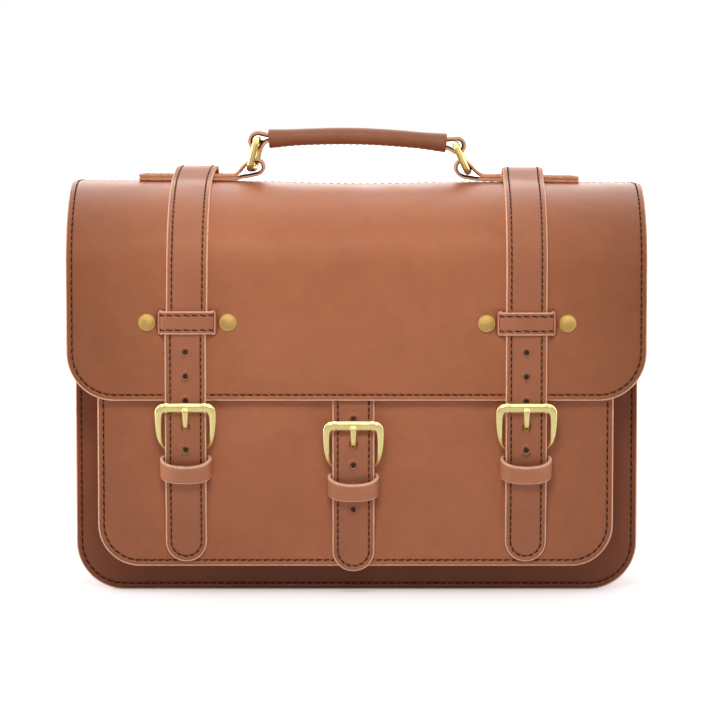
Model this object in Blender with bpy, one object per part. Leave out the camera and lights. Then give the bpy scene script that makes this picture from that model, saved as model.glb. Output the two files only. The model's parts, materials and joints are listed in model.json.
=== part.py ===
"""Leather briefcase with a full flap, two buckled closure straps, a buckled front pocket and a rolled handle.

Metres, +Z up. The origin is on the ground under the middle of the whole bag, +X to the right seen from
the front, and the front faces -Y. The lengths below are in millimetres, and each y is counted from the
middle of the main compartment, which DATUM_Y then places behind the origin.
"""

import math

import bpy
import numpy as np

MM = 0.001
GAP = 0.3
DATUM_Y = 20.68

# Main compartment
PANEL_HALF = 199.6
PANEL_THICK = 2.8
BODY_HALF_DEPTH = 40.0
BACK_TOP = 283.8
FRONT_TOP = 262.0
PANEL_CORNER = 34.0
GUSSET_INSET = 7.0
GUSSET_THICK = 2.4
GUSSET_TOP_FRONT = 250.0
GUSSET_TOP_BACK = 272.0

# Front pocket
POCKET_HALF = 181.4
POCKET_X = -0.7
POCKET_FACE = -66.0
POCKET_BOTTOM = 20.4
POCKET_TOP = 198.0
POCKET_CORNER = 29.5

# Flap: outer profile from the rear edge to the hem, as (y, z)
FLAP_HALF = 203.4
FLAP_THICK = 3.0
FLAP_CORNER = 33.7
FLAP_REAR_CORNER = 12.0
HEM = 138.0
FLAP_FRONT = -72.3
FLAP_PROFILE = (
    (40.8, 287.2), (34.0, 288.1), (26.0, 288.55), (20.0, 288.6), (8.0, 288.6), (-4.0, 288.6),
    (-12.0, 288.1), (-22.0, 286.4), (-34.0, 282.3), (-46.0, 276.0), (-56.0, 268.0),
    (-64.0, 258.5), (-69.5, 247.5), (-71.8, 238.0), (FLAP_FRONT, 228.0),
)

# Straps
STRAP_WIDTH = 29.0
STRAP_THICK = 2.6
STRAP_X = {"left": -119.8, "middle": -2.2, "right": 119.0}
STRAP_FRONT_MID = -73.9
STRAP_BACK_END = 196.0
STRAP_BACK_TOP = 282.4
STRAP_OVER_LIFT = 8.1
STRAP_SPLIT = 178.0
MIDDLE_SPLIT = 130.4
TIP = {"left": 24.0, "middle": 17.0, "right": 24.0}
TIP_LENGTH = 15.0
HOLE_RADIUS = 2.0
HOLES = {
    "left": (172.4, 155.2, 138.0, 102.2),
    "middle": (124.6, 92.6, 77.0, 61.2),
    "right": (172.0, 154.8, 137.6, 101.8),
}

# Buckles: heel bar height of each
HEEL = {"left": 104.8, "middle": 92.2, "right": 104.6}
HEEL_Y = -69.8
BUCKLE_HEIGHT = 28.5
CHAPE_WIDTH = 21.0
CHAPE_LENGTH = 35.0
KEEPER_DROP = 13.0
KEEPER_HEIGHT = 11.5
KEEPER_THICK = 2.3

# Flap loops and their rivets
LOOP_Z = {"left": 193.2, "right": 192.4}
LOOP_HEIGHT = 16.5
LOOP_THICK = 2.0
RIVET_OFFSET = 28.3
RIVET_RADIUS = 6.05

# Handle
HANDLE_Y = 8.0
BASE_WIDTH = 22.0
BASE_THICK = 2.4
BASE_OUTER = {"left": -156.0, "right": 159.5}
RING_LOW = {"left": (-75.2, 298.3), "right": (80.3, 296.6)}
RING_HIGH = {"left": (-70.2, 318.6), "right": (71.6, 315.4)}
RING_WIRE = 2.2
RING_HALF_WIDTH = 15.0
RING_CORNER = 3.7
GRIP_ENDS = ((-63.0, 319.6), (64.4, 316.6))
GRIP_RADIUS = 5.8
GRIP_END_RADIUS = 6.8
GRIP_RISE = 3.4
END_LOOP_WIDTH = 13.0


def unit(vector):
    return np.asarray(vector, float) / np.linalg.norm(vector)


def smooth(points, steps):
    """A Catmull-Rom curve through the points, with this many steps between each two."""
    points = np.asarray(points, float)
    padded = np.vstack([2 * points[0] - points[1], points, 2 * points[-1] - points[-2]])
    made = []
    for index in range(len(points) - 1):
        a, b, c, d = padded[index : index + 4]
        for step in range(steps):
            t = step / steps
            made.append(
                0.5 * (2 * b + (c - a) * t + (2 * a - 5 * b + 4 * c - d) * t**2
                       + (3 * b - a - 3 * c + d) * t**3)
            )
    made.append(points[-1])
    return np.array(made)


def add_solid(name, verts, faces, material):
    """One object from points in millimetres, with its faces turned outwards."""
    verts = np.asarray(verts, float)
    volume = 0.0
    for face in faces:
        origin = verts[face[0]]
        for one, two in zip(face[1:-1], face[2:]):
            volume += np.dot(origin, np.cross(verts[one], verts[two]))
    if volume < 0:
        faces = [tuple(reversed(face)) for face in faces]
    mesh = bpy.data.meshes.new(name)
    mesh.from_pydata([tuple(point) for point in (verts + (0.0, DATUM_Y, 0.0)) * MM], [], faces)
    mesh.update()
    made = bpy.data.objects.new(name, mesh)
    bpy.context.scene.collection.objects.link(made)
    if material is not None:
        mesh.materials.append(material)
    return made


def loft(name, rings, material, closed=False):
    """A solid through rings of equal point counts, capped at both ends or joined into a loop."""
    count = len(rings[0])
    verts = np.vstack(rings)
    faces = []
    for ring in range(len(rings) if closed else len(rings) - 1):
        this, after = ring * count, (ring + 1) % len(rings) * count
        for point in range(count):
            along = (point + 1) % count
            faces.append((this + point, this + along, after + along, after + point))
    if not closed:
        faces.append(tuple(reversed(range(count))))
        last = (len(rings) - 1) * count
        faces.append(tuple(range(last, last + count)))
    return add_solid(name, verts, faces, material)


def rounded_outline(half, low, high, low_corner, high_corner, centre=0.0, steps=10):
    """A closed outline in X and Z, anticlockwise, with its own corner radius below and above."""
    made = []
    corners = (
        (half - low_corner, low + low_corner, low_corner, -90),
        (half - high_corner, high - high_corner, high_corner, 0),
        (-half + high_corner, high - high_corner, high_corner, 90),
        (-half + low_corner, low + low_corner, low_corner, 180),
    )
    for x, z, radius, start in corners:
        for step in range(steps + 1):
            angle = math.radians(start + 90 * step / steps)
            made.append((centre + x + radius * math.cos(angle), z + radius * math.sin(angle)))
    return np.array(made)


def inset(outline, distance):
    """The outline moved inwards."""
    ahead = np.roll(outline, -1, 0) - outline
    behind = outline - np.roll(outline, 1, 0)
    ahead /= np.linalg.norm(ahead, axis=1)[:, None]
    behind /= np.linalg.norm(behind, axis=1)[:, None]
    inward = np.column_stack([-(ahead + behind)[:, 1], (ahead + behind)[:, 0]])
    inward /= np.linalg.norm(inward, axis=1)[:, None]
    return outline + inward * distance


def plate(name, outline, front, back, material, bevel=0.5):
    """A flat leather piece across Y with eased edges."""
    rings = []
    for distance, y in ((bevel, front), (0.0, front + bevel), (0.0, back - bevel), (bevel, back)):
        loop = inset(outline, distance) if distance else outline
        rings.append(np.column_stack([loop[:, 0], np.full(len(loop), y), loop[:, 1]]))
    return loft(name, rings, material)


def channel(name, half, low, corner, front, back, tops, material, centre=0.0):
    """A gusset: a U of leather with both flanges turned out, open at the top.

    Each section point is its inset from the outline and its y; tops gives the height of the open end
    at the front and at the back.
    """
    inner = GUSSET_INSET + GUSSET_THICK
    section = (
        (0.4, front), (0.4, front + GUSSET_THICK), (GUSSET_INSET, front + GUSSET_THICK),
        (GUSSET_INSET, back - GUSSET_THICK), (0.4, back - GUSSET_THICK), (0.4, back),
        (inner, back), (inner, front),
    )
    path = [(half, None, 0)]
    for step in range(13):
        angle = math.radians(-90 * step / 12)
        path.append((half - corner + corner * math.cos(angle), low + corner + corner * math.sin(angle), angle))
    path += [(-x, z, math.pi - angle) for x, z, angle in reversed(path)]
    rings = []
    for x, z, angle in path:
        ring = []
        for depth, y in section:
            share = (y - front) / (back - front)
            height = tops[0] + (tops[1] - tops[0]) * share if z is None else z - depth * math.sin(angle)
            ring.append((centre + x - depth * math.cos(angle), y, height))
        rings.append(np.array(ring))
    return loft(name, rings, material)


def ribbon(name, path, width, thick, side, material, bevel=0.45):
    """A strip of leather along a path: width and thick may change along it, side is its width direction."""
    path = np.asarray(path, float)
    widths = np.broadcast_to(width, len(path))
    thicks = np.broadcast_to(thick, len(path))
    sides = np.broadcast_to(np.asarray(side, float), (len(path), 3))
    tangents = np.gradient(path, axis=0)
    rings = []
    for point, tangent, across, w, t in zip(path, tangents, sides, widths, thicks):
        across = unit(across)
        normal = unit(np.cross(tangent, across))
        ease = min(bevel, t * 0.35, w * 0.35)
        ring = []
        for a, b in (
            (w / 2 - ease, t / 2), (w / 2, t / 2 - ease), (w / 2, ease - t / 2), (w / 2 - ease, -t / 2),
            (ease - w / 2, -t / 2), (-w / 2, ease - t / 2), (-w / 2, t / 2 - ease), (ease - w / 2, t / 2),
        ):
            ring.append(point + across * a + normal * b)
        rings.append(np.array(ring))
    return loft(name, rings, material)


def tube(name, path, wide, thick, plane, material, closed=False, points=10):
    """A bar along a path, with an oval section: wide lies in the plane with this normal, thick along it."""
    path = np.asarray(path, float)
    if closed:
        tangents = np.roll(path, -1, 0) - np.roll(path, 1, 0)
    else:
        tangents = np.gradient(path, axis=0)
    plane = unit(plane)
    rings = []
    for point, tangent, a, b in zip(
        path, tangents, np.broadcast_to(wide, len(path)), np.broadcast_to(thick, len(path))
    ):
        in_plane = unit(np.cross(tangent, plane))
        out = unit(np.cross(in_plane, tangent))
        turn = np.arange(points) * 2 * math.pi / points
        rings.append(point + np.outer(np.cos(turn), in_plane) * a + np.outer(np.sin(turn), out) * b)
    return loft(name, rings, material, closed)


def lathe_front(name, x, z, profile, material, points=24):
    """A turned piece about a line along Y, from (radius, y) pairs."""
    turn = np.arange(points) * 2 * math.pi / points
    rings = []
    for radius, y in profile:
        rings.append(
            np.column_stack([x + radius * np.cos(turn), np.full(points, y), z + radius * np.sin(turn)])
        )
    return loft(name, rings, material)


def cut(solid, cutter):
    cutter.hide_render = True
    cutter.display_type = "WIRE"
    modifier = solid.modifiers.new("cut", "BOOLEAN")
    modifier.operation = "DIFFERENCE"
    modifier.solver = "EXACT"
    modifier.object = cutter


def material(name, colour, roughness, metallic=0.0):
    made = bpy.data.materials.new(name)
    made.use_nodes = True
    shader = made.node_tree.nodes["Principled BSDF"]
    shader.inputs["Base Color"].default_value = (*colour, 1.0)
    shader.inputs["Roughness"].default_value = roughness
    shader.inputs["Metallic"].default_value = metallic
    return made


def flap_line():
    """The flap's outer profile, evenly sampled, as (y, z) with its outward normals."""
    curve = smooth(FLAP_PROFILE, 3)
    straight = np.linspace(FLAP_PROFILE[-1][1], HEM, 14)[1:]
    line = np.vstack([curve, np.column_stack([np.full(len(straight), FLAP_FRONT), straight])])
    tangent = np.gradient(line, axis=0)
    normal = np.column_stack([tangent[:, 1], -tangent[:, 0]])
    return line, normal / np.linalg.norm(normal, axis=1)[:, None]


def build_flap(skin):
    line, normal = flap_line()
    normal = np.where(normal[:, 1:] < -0.5, -normal, normal)
    length = np.concatenate([[0.0], np.cumsum(np.linalg.norm(np.diff(line, axis=0), axis=1))])
    total = length[-1]
    stations = [d for d in length if FLAP_REAR_CORNER < d < total - FLAP_CORNER]
    stations += [FLAP_REAR_CORNER * (1 - math.cos(a)) for a in np.linspace(0, math.pi / 2, 7)]
    stations += [total - FLAP_CORNER * (1 - math.cos(a)) for a in np.linspace(0, math.pi / 2, 11)]
    rings = []
    for distance in sorted(set(round(d, 3) for d in stations)):
        centre = np.array([np.interp(distance, length, line[:, axis]) for axis in (0, 1)])
        out = unit([np.interp(distance, length, normal[:, axis]) for axis in (0, 1)])
        half = FLAP_HALF
        for radius, along in ((FLAP_REAR_CORNER, distance), (FLAP_CORNER, total - distance)):
            if along < radius:
                half = FLAP_HALF - radius + math.sqrt(max(radius**2 - (radius - along) ** 2, 0.0))
        columns = np.linspace(-1, 1, 13) * (half - 0.5)
        ring = [(x, 0.0) for x in columns] + [(half, -0.5), (half, 0.5 - FLAP_THICK)]
        ring += [(x, -FLAP_THICK) for x in columns[::-1]] + [(-half, 0.5 - FLAP_THICK), (-half, -0.5)]
        rings.append(np.array([(x, *(centre + out * n)) for x, n in ring]))
    return loft("flap", rings, skin)


def tip_widths(path, width, length=TIP_LENGTH):
    """The full width along a strap whose last end is rounded."""
    travelled = np.concatenate([[0.0], np.cumsum(np.linalg.norm(np.diff(path, axis=0), axis=1))])
    left = travelled[-1] - travelled
    share = np.clip(1 - left / length, 0.0, 0.985)
    return width * np.sqrt(1 - share**2)


def strap_path(x, points, steps=5, tip_steps=9):
    """A strap's middle line at one x, with extra points in its rounded tip."""
    curve = smooth(points, steps)
    end = curve[-1]
    ahead = unit(curve[-1] - curve[-2])
    start = end - ahead * TIP_LENGTH
    tip = [start + ahead * TIP_LENGTH * math.sin(a) for a in np.linspace(0, math.pi / 2, tip_steps)]
    kept = [p for p in curve if np.dot(p - start, ahead) < -0.6]
    return np.array([(x, *p) for p in kept + tip])


def oblong(name, x, y, low, high, half):
    """A cutter along Y with rounded ends, for the hole a prong goes through."""
    turn = np.linspace(0, 2 * math.pi, 24, endpoint=False)
    loop = []
    for angle in turn:
        shift = high - half if math.sin(angle) > 0 else low + half
        loop.append((x + half * math.cos(angle), shift + half * math.sin(angle)))
    loop = np.array(loop)
    rings = [np.column_stack([loop[:, 0], np.full(len(loop), y + d), loop[:, 1]]) for d in (-9.0, 9.0)]
    return loft(name, rings, None)


def build_tail(side, points, skin):
    x = STRAP_X[side]
    path = strap_path(x, points)
    tail = ribbon(f"strap_tail_{side}", path, tip_widths(path, STRAP_WIDTH), STRAP_THICK, (1, 0, 0), skin)
    for height in HOLES[side]:
        y = np.interp(-height, -path[:, 2], path[:, 1])
        cut(tail, lathe_front(f"hole_{side}_{height:.0f}", x, height,
                              ((HOLE_RADIUS, y - 6), (HOLE_RADIUS, y + 6)), None, 16))
    low = HEEL[side] + 8.0
    cut(tail, oblong(f"prong_hole_{side}", x, STRAP_FRONT_MID, low, low + 7.3, 2.5))
    return tail


def build_buckle(side, brass):
    """The frame: a broad outer bar in front of the strap, legs that taper back to the heel bar behind it."""
    x, heel = STRAP_X[side], HEEL[side]
    half = (
        (0.0, -77.7, 28.5, 3.3, 2.0), (5.0, -77.7, 28.5, 3.3, 2.0), (11.0, -77.7, 28.5, 3.3, 2.0),
        (13.2, -77.7, 28.5, 3.4, 2.05), (14.9, -77.7, 28.4, 3.5, 2.05), (17.0, -77.6, 27.2, 2.9, 2.0),
        (18.3, -77.4, 24.4, 2.3, 1.9), (18.5, -76.6, 18.0, 2.1, 1.8), (18.3, -75.2, 11.0, 1.8, 1.6),
        (17.6, -73.0, 5.2, 1.5, 1.4), (16.1, -70.9, 1.6, 1.3, 1.25), (13.6, -69.95, 0.2, 1.3, 1.3),
        (11.0, HEEL_Y, 0.0, 1.3, 1.3), (5.0, HEEL_Y, 0.0, 1.3, 1.3), (0.0, HEEL_Y, 0.0, 1.3, 1.3),
    )
    loop = list(half) + [(-px, py, pz, a, b) for px, py, pz, a, b in reversed(half[1:-1])]
    loop = np.array(loop)
    path = loop[:, :3] + (x, 0.0, heel)
    rise = (0.0, -77.7 - HEEL_Y, BUCKLE_HEIGHT)
    return tube(f"buckle_{side}", path, loop[:, 3], loop[:, 4], np.cross((1, 0, 0), rise), brass, closed=True)


def build_prong(side, brass):
    """The prong: a strip rolled round the heel bar, up through the strap and onto the outer bar."""
    x, heel = STRAP_X[side], HEEL[side]
    line = (
        (-70.9, 1.7, 0.45), (-71.85, 0.0, 0.45), (-71.25, -1.45, 0.45), (-69.8, -2.05, 0.45),
        (-68.35, -1.45, 0.5), (-67.75, 0.0, 0.5), (-68.0, 2.0, 0.8), (-68.8, 4.2, 1.05),
        (-70.3, 7.2, 1.2), (-72.6, 10.2, 1.25), (-75.5, 12.9, 1.25), (-78.1, 16.3, 1.2),
        (-80.1, 20.6, 1.1), (-81.1, 25.2, 0.95), (-81.2, 28.0, 0.8), (-81.1, 29.6, 0.5),
    )
    line = smooth(line, 3)
    path = np.column_stack([np.full(len(line), x), line[:, 0], heel + line[:, 1]])
    along = np.linspace(0, 1, len(line))
    widths = np.interp(along, (0, 0.5, 0.9, 1), (1.9, 2.0, 1.55, 0.7))
    return tube(f"prong_{side}", path, line[:, 2], widths, (1, 0, 0), brass, points=8)


def build_chape(side, skin):
    """The strip that is folded round the heel bar and sewn to the pocket, slotted for the prong."""
    x, heel = STRAP_X[side], HEEL[side]
    line = (
        (-68.55, -CHAPE_LENGTH), (-68.75, -24.0), (-68.95, -14.0), (-69.6, -8.0), (-71.3, -3.4),
        (-71.95, 0.0), (-71.3, 1.55), (-69.8, 2.15), (-68.3, 1.5), (-67.7, 0.0), (-67.35, -4.0),
        (-67.1, -10.0), (-67.0, -18.0), (-67.0, -CHAPE_LENGTH + 1.0),
    )
    line = smooth(line, 3)
    path = np.column_stack([np.full(len(line), x), line[:, 0], heel + line[:, 1]])
    thick = np.where(line[:, 1] > -5.0, 1.0, 1.3)
    wide = np.interp(line[:, 1], (-13.0, -7.0), (STRAP_WIDTH, CHAPE_WIDTH))
    chape = ribbon(f"chape_{side}", path, wide, thick, (1, 0, 0), skin, bevel=0.3)
    corners = rounded_outline(2.7, heel - 6.5, heel + 6.0, 1.5, 1.5, x, 3)
    rings = [np.column_stack([corners[:, 0], np.full(len(corners), y), corners[:, 1]]) for y in (-75.0, -60.0)]
    cut(chape, loft(f"prong_slot_{side}", rings, None))
    return chape


def build_keeper(side, skin):
    """The thick loop that holds the end of the strap: it sags and leans forward."""
    x, middle = STRAP_X[side], HEEL[side] - KEEPER_DROP
    half = (
        (16.3, -67.6, 1.4, 0.0), (16.8, -69.4, 1.0, 0.0), (17.2, -72.4, 0.0, 6.0),
        (16.4, -75.6, -1.8, 14.0), (13.6, -78.4, -3.7, 20.0),
        (8.4, -80.2, -5.2, 24.0), (0.0, -80.9, -6.0, 26.0),
    )
    line = np.array(list(half) + [(-px, py, pz, lean) for px, py, pz, lean in reversed(half[:-1])])
    line = smooth(line, 2)
    path = np.column_stack([x + line[:, 0], line[:, 1], middle + line[:, 2]])
    lean = np.radians(line[:, 3])
    up = np.column_stack([np.zeros(len(line)), -np.sin(lean), np.cos(lean)])
    return ribbon(f"keeper_{side}", path, KEEPER_HEIGHT, KEEPER_THICK, up, skin)


def build_flap_loop(side, skin):
    x, z = STRAP_X[side], LOOP_Z[side]
    half = (
        (19.0, -73.6), (18.0, -74.3), (16.6, -75.6), (14.6, -76.5), (11.0, -76.7), (0.0, -76.8),
    )
    line = smooth(list(half) + [(-px, py) for px, py in reversed(half[:-1])], 2)
    path = np.column_stack([x + line[:, 0], line[:, 1], np.full(len(line), z)])
    return ribbon(f"flap_loop_{side}", path, LOOP_HEIGHT, LOOP_THICK, (0, 0, 1), skin)


def build_rivet(name, x, z, brass):
    face = FLAP_FRONT - GAP
    profile = ((RIVET_RADIUS - 0.3, face), (RIVET_RADIUS, face - 0.4), (RIVET_RADIUS - 0.1, face - 0.9),
               (RIVET_RADIUS - 1.1, face - 1.1), (RIVET_RADIUS - 1.5, face - 1.5),
               (3.4, face - 2.2), (1.9, face - 2.6), (0.5, face - 2.75))
    return lathe_front(name, x, z, profile, brass)


def build_base(side, skin):
    """The strip folded round the ring's lower bar: two layers that lie along the top of the flap."""
    sign = -1.0 if side == "left" else 1.0
    outer = BASE_OUTER[side]
    bar_x, bar_z = RING_LOW[side]
    floor = 288.6 + GAP + BASE_THICK / 2
    upper = floor + BASE_THICK + 0.2
    centre_x, centre_z = bar_x - sign * 2.2, bar_z + 0.3
    loop = (
        (13.0, floor - centre_z), (8.5, floor - centre_z), (4.2, floor - centre_z + 0.5), (0.3, -6.5),
        (-3.8, -4.9), (-6.1, -1.1), (-5.6, 2.7), (-3.1, 5.4), (0.6, 6.2), (4.1, 4.7), (6.6, 1.3),
        (8.9, -2.3), (11.4, upper - centre_z + 0.9), (15.0, upper - centre_z), (19.0, upper - centre_z),
    )
    curve = [(centre_x + sign * out, centre_z + up) for out, up in smooth(loop, 3)]
    curve = [(outer, floor), (outer * 0.7 + bar_x * 0.3, floor)] + curve
    curve += [(outer * 0.7 + bar_x * 0.3, upper), (outer, upper)]
    path = np.array([(px, HANDLE_Y, pz) for px, pz in curve])
    return ribbon(f"handle_base_{side}", path, BASE_WIDTH, BASE_THICK, (0, 1, 0), skin)


def build_ring(side, brass):
    low = np.array((RING_LOW[side][0], HANDLE_Y, RING_LOW[side][1]))
    high = np.array((RING_HIGH[side][0], HANDLE_Y, RING_HIGH[side][1]))
    rise = unit(high - low)
    length = np.linalg.norm(high - low)
    across = np.array((0.0, 1.0, 0.0))
    reach = RING_HALF_WIDTH - RING_CORNER
    path = []
    for y, up, start in ((reach, RING_CORNER, -90), (reach, length - RING_CORNER, 0),
                         (-reach, length - RING_CORNER, 90), (-reach, RING_CORNER, 180)):
        for step in range(6):
            angle = math.radians(start + 90 * step / 5)
            path.append(low + across * (y + RING_CORNER * math.cos(angle))
                        + rise * (up + RING_CORNER * math.sin(angle)))
    return tube(f"handle_ring_{side}", path, RING_WIRE, RING_WIRE, np.cross(across, rise), brass, closed=True)


def build_grip(skin):
    left, right = (np.array((x, HANDLE_Y, z)) for x, z in GRIP_ENDS)
    share = np.concatenate([[0.0, 0.006, 0.02], np.linspace(0.05, 0.95, 25), [0.98, 0.994, 1.0]])
    path = [left + (right - left) * s + (0, 0, GRIP_RISE * math.sin(math.pi * s)) for s in share]
    edge = np.minimum(share, 1 - share)
    radius = GRIP_RADIUS + (GRIP_END_RADIUS - GRIP_RADIUS) * np.clip(1 - edge / 0.16, 0, 1) ** 1.5
    radius *= np.interp(edge, (0.0, 0.006, 0.02), (0.78, 0.93, 1.0))
    return tube("handle_grip", path, radius, radius, (0, 1, 0), skin, points=20)


def build_end_loop(side, skin):
    """The leather eye at each end of the grip, open along Y for the ring."""
    x, z = RING_HIGH[side]
    x += 0.4 if side == "left" else -0.4
    turn = np.arange(24) * 2 * math.pi / 24
    half = END_LOOP_WIDTH / 2
    rings = []
    for grow, y in ((0.0, -half + 0.4), (0.4, -half), (1.8, -half), (2.2, -half + 0.4),
                    (2.2, half - 0.4), (1.8, half), (0.4, half), (0.0, half - 0.4)):
        rings.append(np.column_stack([
            x + (3.7 + grow) * np.cos(turn), np.full(24, HANDLE_Y + y), z + (3.5 + grow) * np.sin(turn),
        ]))
    return loft(f"handle_loop_{side}", rings, skin, closed=True)


def main():
    for old in list(bpy.data.objects):
        bpy.data.objects.remove(old)
    scene = bpy.context.scene
    scene.unit_settings.system = "METRIC"
    scene.unit_settings.scale_length = 1.0
    tan = {}
    for name in ("panel", "gusset", "pocket", "flap", "strap", "loop", "chape", "grip", "base"):
        tan[name] = material(f"{name}_leather", (0.40, 0.165, 0.085), 0.5)
    brass = material("polished_brass", (0.80, 0.62, 0.34), 0.2, 1.0)
    aged = material("aged_brass", (0.55, 0.36, 0.14), 0.4, 1.0)

    outline = rounded_outline(PANEL_HALF, 0.0, BACK_TOP, PANEL_CORNER, FLAP_REAR_CORNER)
    plate("back_panel", outline, BODY_HALF_DEPTH - PANEL_THICK, BODY_HALF_DEPTH, tan["panel"])
    outline = rounded_outline(PANEL_HALF, 0.0, FRONT_TOP, PANEL_CORNER, 8.0)
    plate("front_panel", outline, -BODY_HALF_DEPTH, PANEL_THICK - BODY_HALF_DEPTH, tan["panel"])
    inner = BODY_HALF_DEPTH - PANEL_THICK - 0.05
    channel("main_gusset", PANEL_HALF, 0.0, PANEL_CORNER, -inner, inner,
            (GUSSET_TOP_FRONT, GUSSET_TOP_BACK), tan["gusset"])
    outline = rounded_outline(POCKET_HALF, POCKET_BOTTOM, POCKET_TOP, POCKET_CORNER, 6.0, POCKET_X)
    plate("pocket_face", outline, POCKET_FACE, POCKET_FACE + PANEL_THICK, tan["pocket"])
    channel("pocket_gusset", POCKET_HALF, POCKET_BOTTOM, POCKET_CORNER, POCKET_FACE + PANEL_THICK + 0.05,
            -BODY_HALF_DEPTH - 0.05, (POCKET_TOP - 3, POCKET_TOP - 3), tan["gusset"], POCKET_X)
    build_flap(tan["flap"])

    line, normal = flap_line()
    normal = np.where(normal[:, 1:] < -0.5, -normal, normal)
    offset = GAP + STRAP_THICK / 2
    over = line + normal * offset
    lift = np.clip(1 - np.abs(over[:, 0] - HANDLE_Y) / 27.5, 0, 1)
    over[:, 1] += STRAP_OVER_LIFT * np.sin(lift * math.pi / 2) ** 2
    over = over[over[:, 1] > STRAP_SPLIT + 4]
    over = np.vstack([(42.5, 288.9), over[1:], (STRAP_FRONT_MID, STRAP_SPLIT + GAP)])
    for side in ("left", "right"):
        x = STRAP_X[side]
        ribbon(f"strap_top_{side}", [(x, *p) for p in over], STRAP_WIDTH, STRAP_THICK, (1, 0, 0), tan["strap"])
        behind = BODY_HALF_DEPTH + offset
        path = strap_path(x, ((behind, STRAP_BACK_TOP), (behind, 240.0), (behind, STRAP_BACK_END)))
        ribbon(f"strap_back_{side}", path, tip_widths(path, STRAP_WIDTH), STRAP_THICK, (1, 0, 0), tan["strap"])
        heel = HEEL[side]
        build_tail(side, (
            (STRAP_FRONT_MID, STRAP_SPLIT - GAP), (STRAP_FRONT_MID, 140.0), (STRAP_FRONT_MID, heel + 2),
            (STRAP_FRONT_MID, heel - 7), (-72.9, heel - 15), (-71.3, heel - 26), (-70.75, heel - 34),
            (-69.9, heel - 41), (-68.2, heel - 54), (-67.65, heel - 66), (-67.65, TIP[side]),
        ), tan["strap"])
        build_flap_loop(side, tan["loop"])
        build_base(side, tan["base"])
        build_ring(side, aged)
        build_end_loop(side, tan["grip"])
        for place, shift in (("outer", -1), ("inner", 1)):
            away = shift * RIVET_OFFSET * (1 if side == "left" else -1)
            build_rivet(f"rivet_{side}_{place}", x + away, LOOP_Z[side], aged)

    x = STRAP_X["middle"]
    anchor = ((-41.65, 240.0), (-41.65, 230.0), (-41.8, 221.0), (-44.2, 214.2), (-50.5, 210.3), (-58.0, 206.8),
              (-64.4, 203.0), (-67.4, 197.8), (-67.6, 190.0))
    down = [(-67.6, z) for z in np.linspace(190.0, MIDDLE_SPLIT + GAP, 9)[1:]]
    path = np.array([(x, *p) for p in np.vstack([smooth(anchor, 4), down])])
    ribbon("strap_middle_upper", path, STRAP_WIDTH, STRAP_THICK, (1, 0, 0), tan["strap"])
    heel = HEEL["middle"]
    build_tail("middle", (
        (-67.6, MIDDLE_SPLIT - GAP), (-68.7, heel + 32), (-71.4, heel + 25), (-73.4, heel + 18),
        (STRAP_FRONT_MID, heel + 12), (STRAP_FRONT_MID, heel), (STRAP_FRONT_MID, heel - 7), (-72.9, heel - 15),
        (-71.3, heel - 26), (-70.75, heel - 34), (-69.9, heel - 41), (-68.2, heel - 54), (-67.65, heel - 64),
        (-67.65, TIP["middle"]),
    ), tan["strap"])
    for side in ("left", "middle", "right"):
        build_buckle(side, brass)
        build_prong(side, brass)
        build_chape(side, tan["chape"])
        build_keeper(side, tan["loop"])
    build_grip(tan["grip"])


main()
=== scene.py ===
import json
import math
import random

import bpy
import numpy as np
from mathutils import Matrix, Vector, geometry


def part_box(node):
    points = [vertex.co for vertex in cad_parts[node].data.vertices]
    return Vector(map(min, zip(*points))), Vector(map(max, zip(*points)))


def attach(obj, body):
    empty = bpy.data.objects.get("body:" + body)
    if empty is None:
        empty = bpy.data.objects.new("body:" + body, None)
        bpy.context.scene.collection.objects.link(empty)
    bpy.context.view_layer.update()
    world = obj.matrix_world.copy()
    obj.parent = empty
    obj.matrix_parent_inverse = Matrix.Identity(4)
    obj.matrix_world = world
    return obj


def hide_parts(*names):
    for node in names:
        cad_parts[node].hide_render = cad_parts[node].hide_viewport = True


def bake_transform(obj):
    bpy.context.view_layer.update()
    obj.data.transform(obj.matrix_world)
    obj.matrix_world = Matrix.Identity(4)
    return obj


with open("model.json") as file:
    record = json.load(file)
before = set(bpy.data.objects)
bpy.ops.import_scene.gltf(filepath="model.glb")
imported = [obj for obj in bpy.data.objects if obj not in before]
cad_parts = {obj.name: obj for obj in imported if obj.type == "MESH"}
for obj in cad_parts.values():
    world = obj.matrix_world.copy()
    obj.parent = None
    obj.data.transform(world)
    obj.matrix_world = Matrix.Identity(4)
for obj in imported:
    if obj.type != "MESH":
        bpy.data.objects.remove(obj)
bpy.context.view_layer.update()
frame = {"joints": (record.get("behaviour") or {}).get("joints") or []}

# Lengths are in millimetres. y is counted from the middle of the main compartment, +Z up, front at -y.
MM = 0.001


def box(node):
    """A CAD node's lowest and highest corner in the row frame, in millimetres."""
    return [np.array(corner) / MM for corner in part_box(node)]


def middle(node, axis):
    return float(sum(corner[axis] for corner in box(node)) / 2)


DATUM_Y = middle("main_gusset", 1)
BACK = box("back_panel")[1][1] - DATUM_Y
FRONT = box("front_panel")[0][1] - DATUM_Y
POCKET = box("pocket_face")[0][1] - DATUM_Y
FLAP_FRONT = box("flap")[0][1] - DATUM_Y
PANEL_HALF = 199.6
PANEL_HIGH = 262.0
FLAP_HALF = 203.4
HEM = box("flap")[0][2]
FLAP_THICK = 3.0
STRAP_HALF = 14.5
STRAP_THICK = 2.6
STRAP_LIFT = 2.95
STRAP_X = {side: middle(f"strap_tail_{side}", 0) for side in ("left", "middle", "right")}
TIP = {side: box(f"strap_tail_{side}")[0][2] for side in STRAP_X}
JOINT = {joint["name"]: np.array(joint["pos_m"]) / MM - (0.0, DATUM_Y, 0.0) for joint in frame["joints"]}
HEEL = {side: float(JOINT[f"buckle_{side}_tip"][2]) for side in STRAP_X}
HEEL_Y = float(JOINT["buckle_left_tip"][1])
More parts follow.
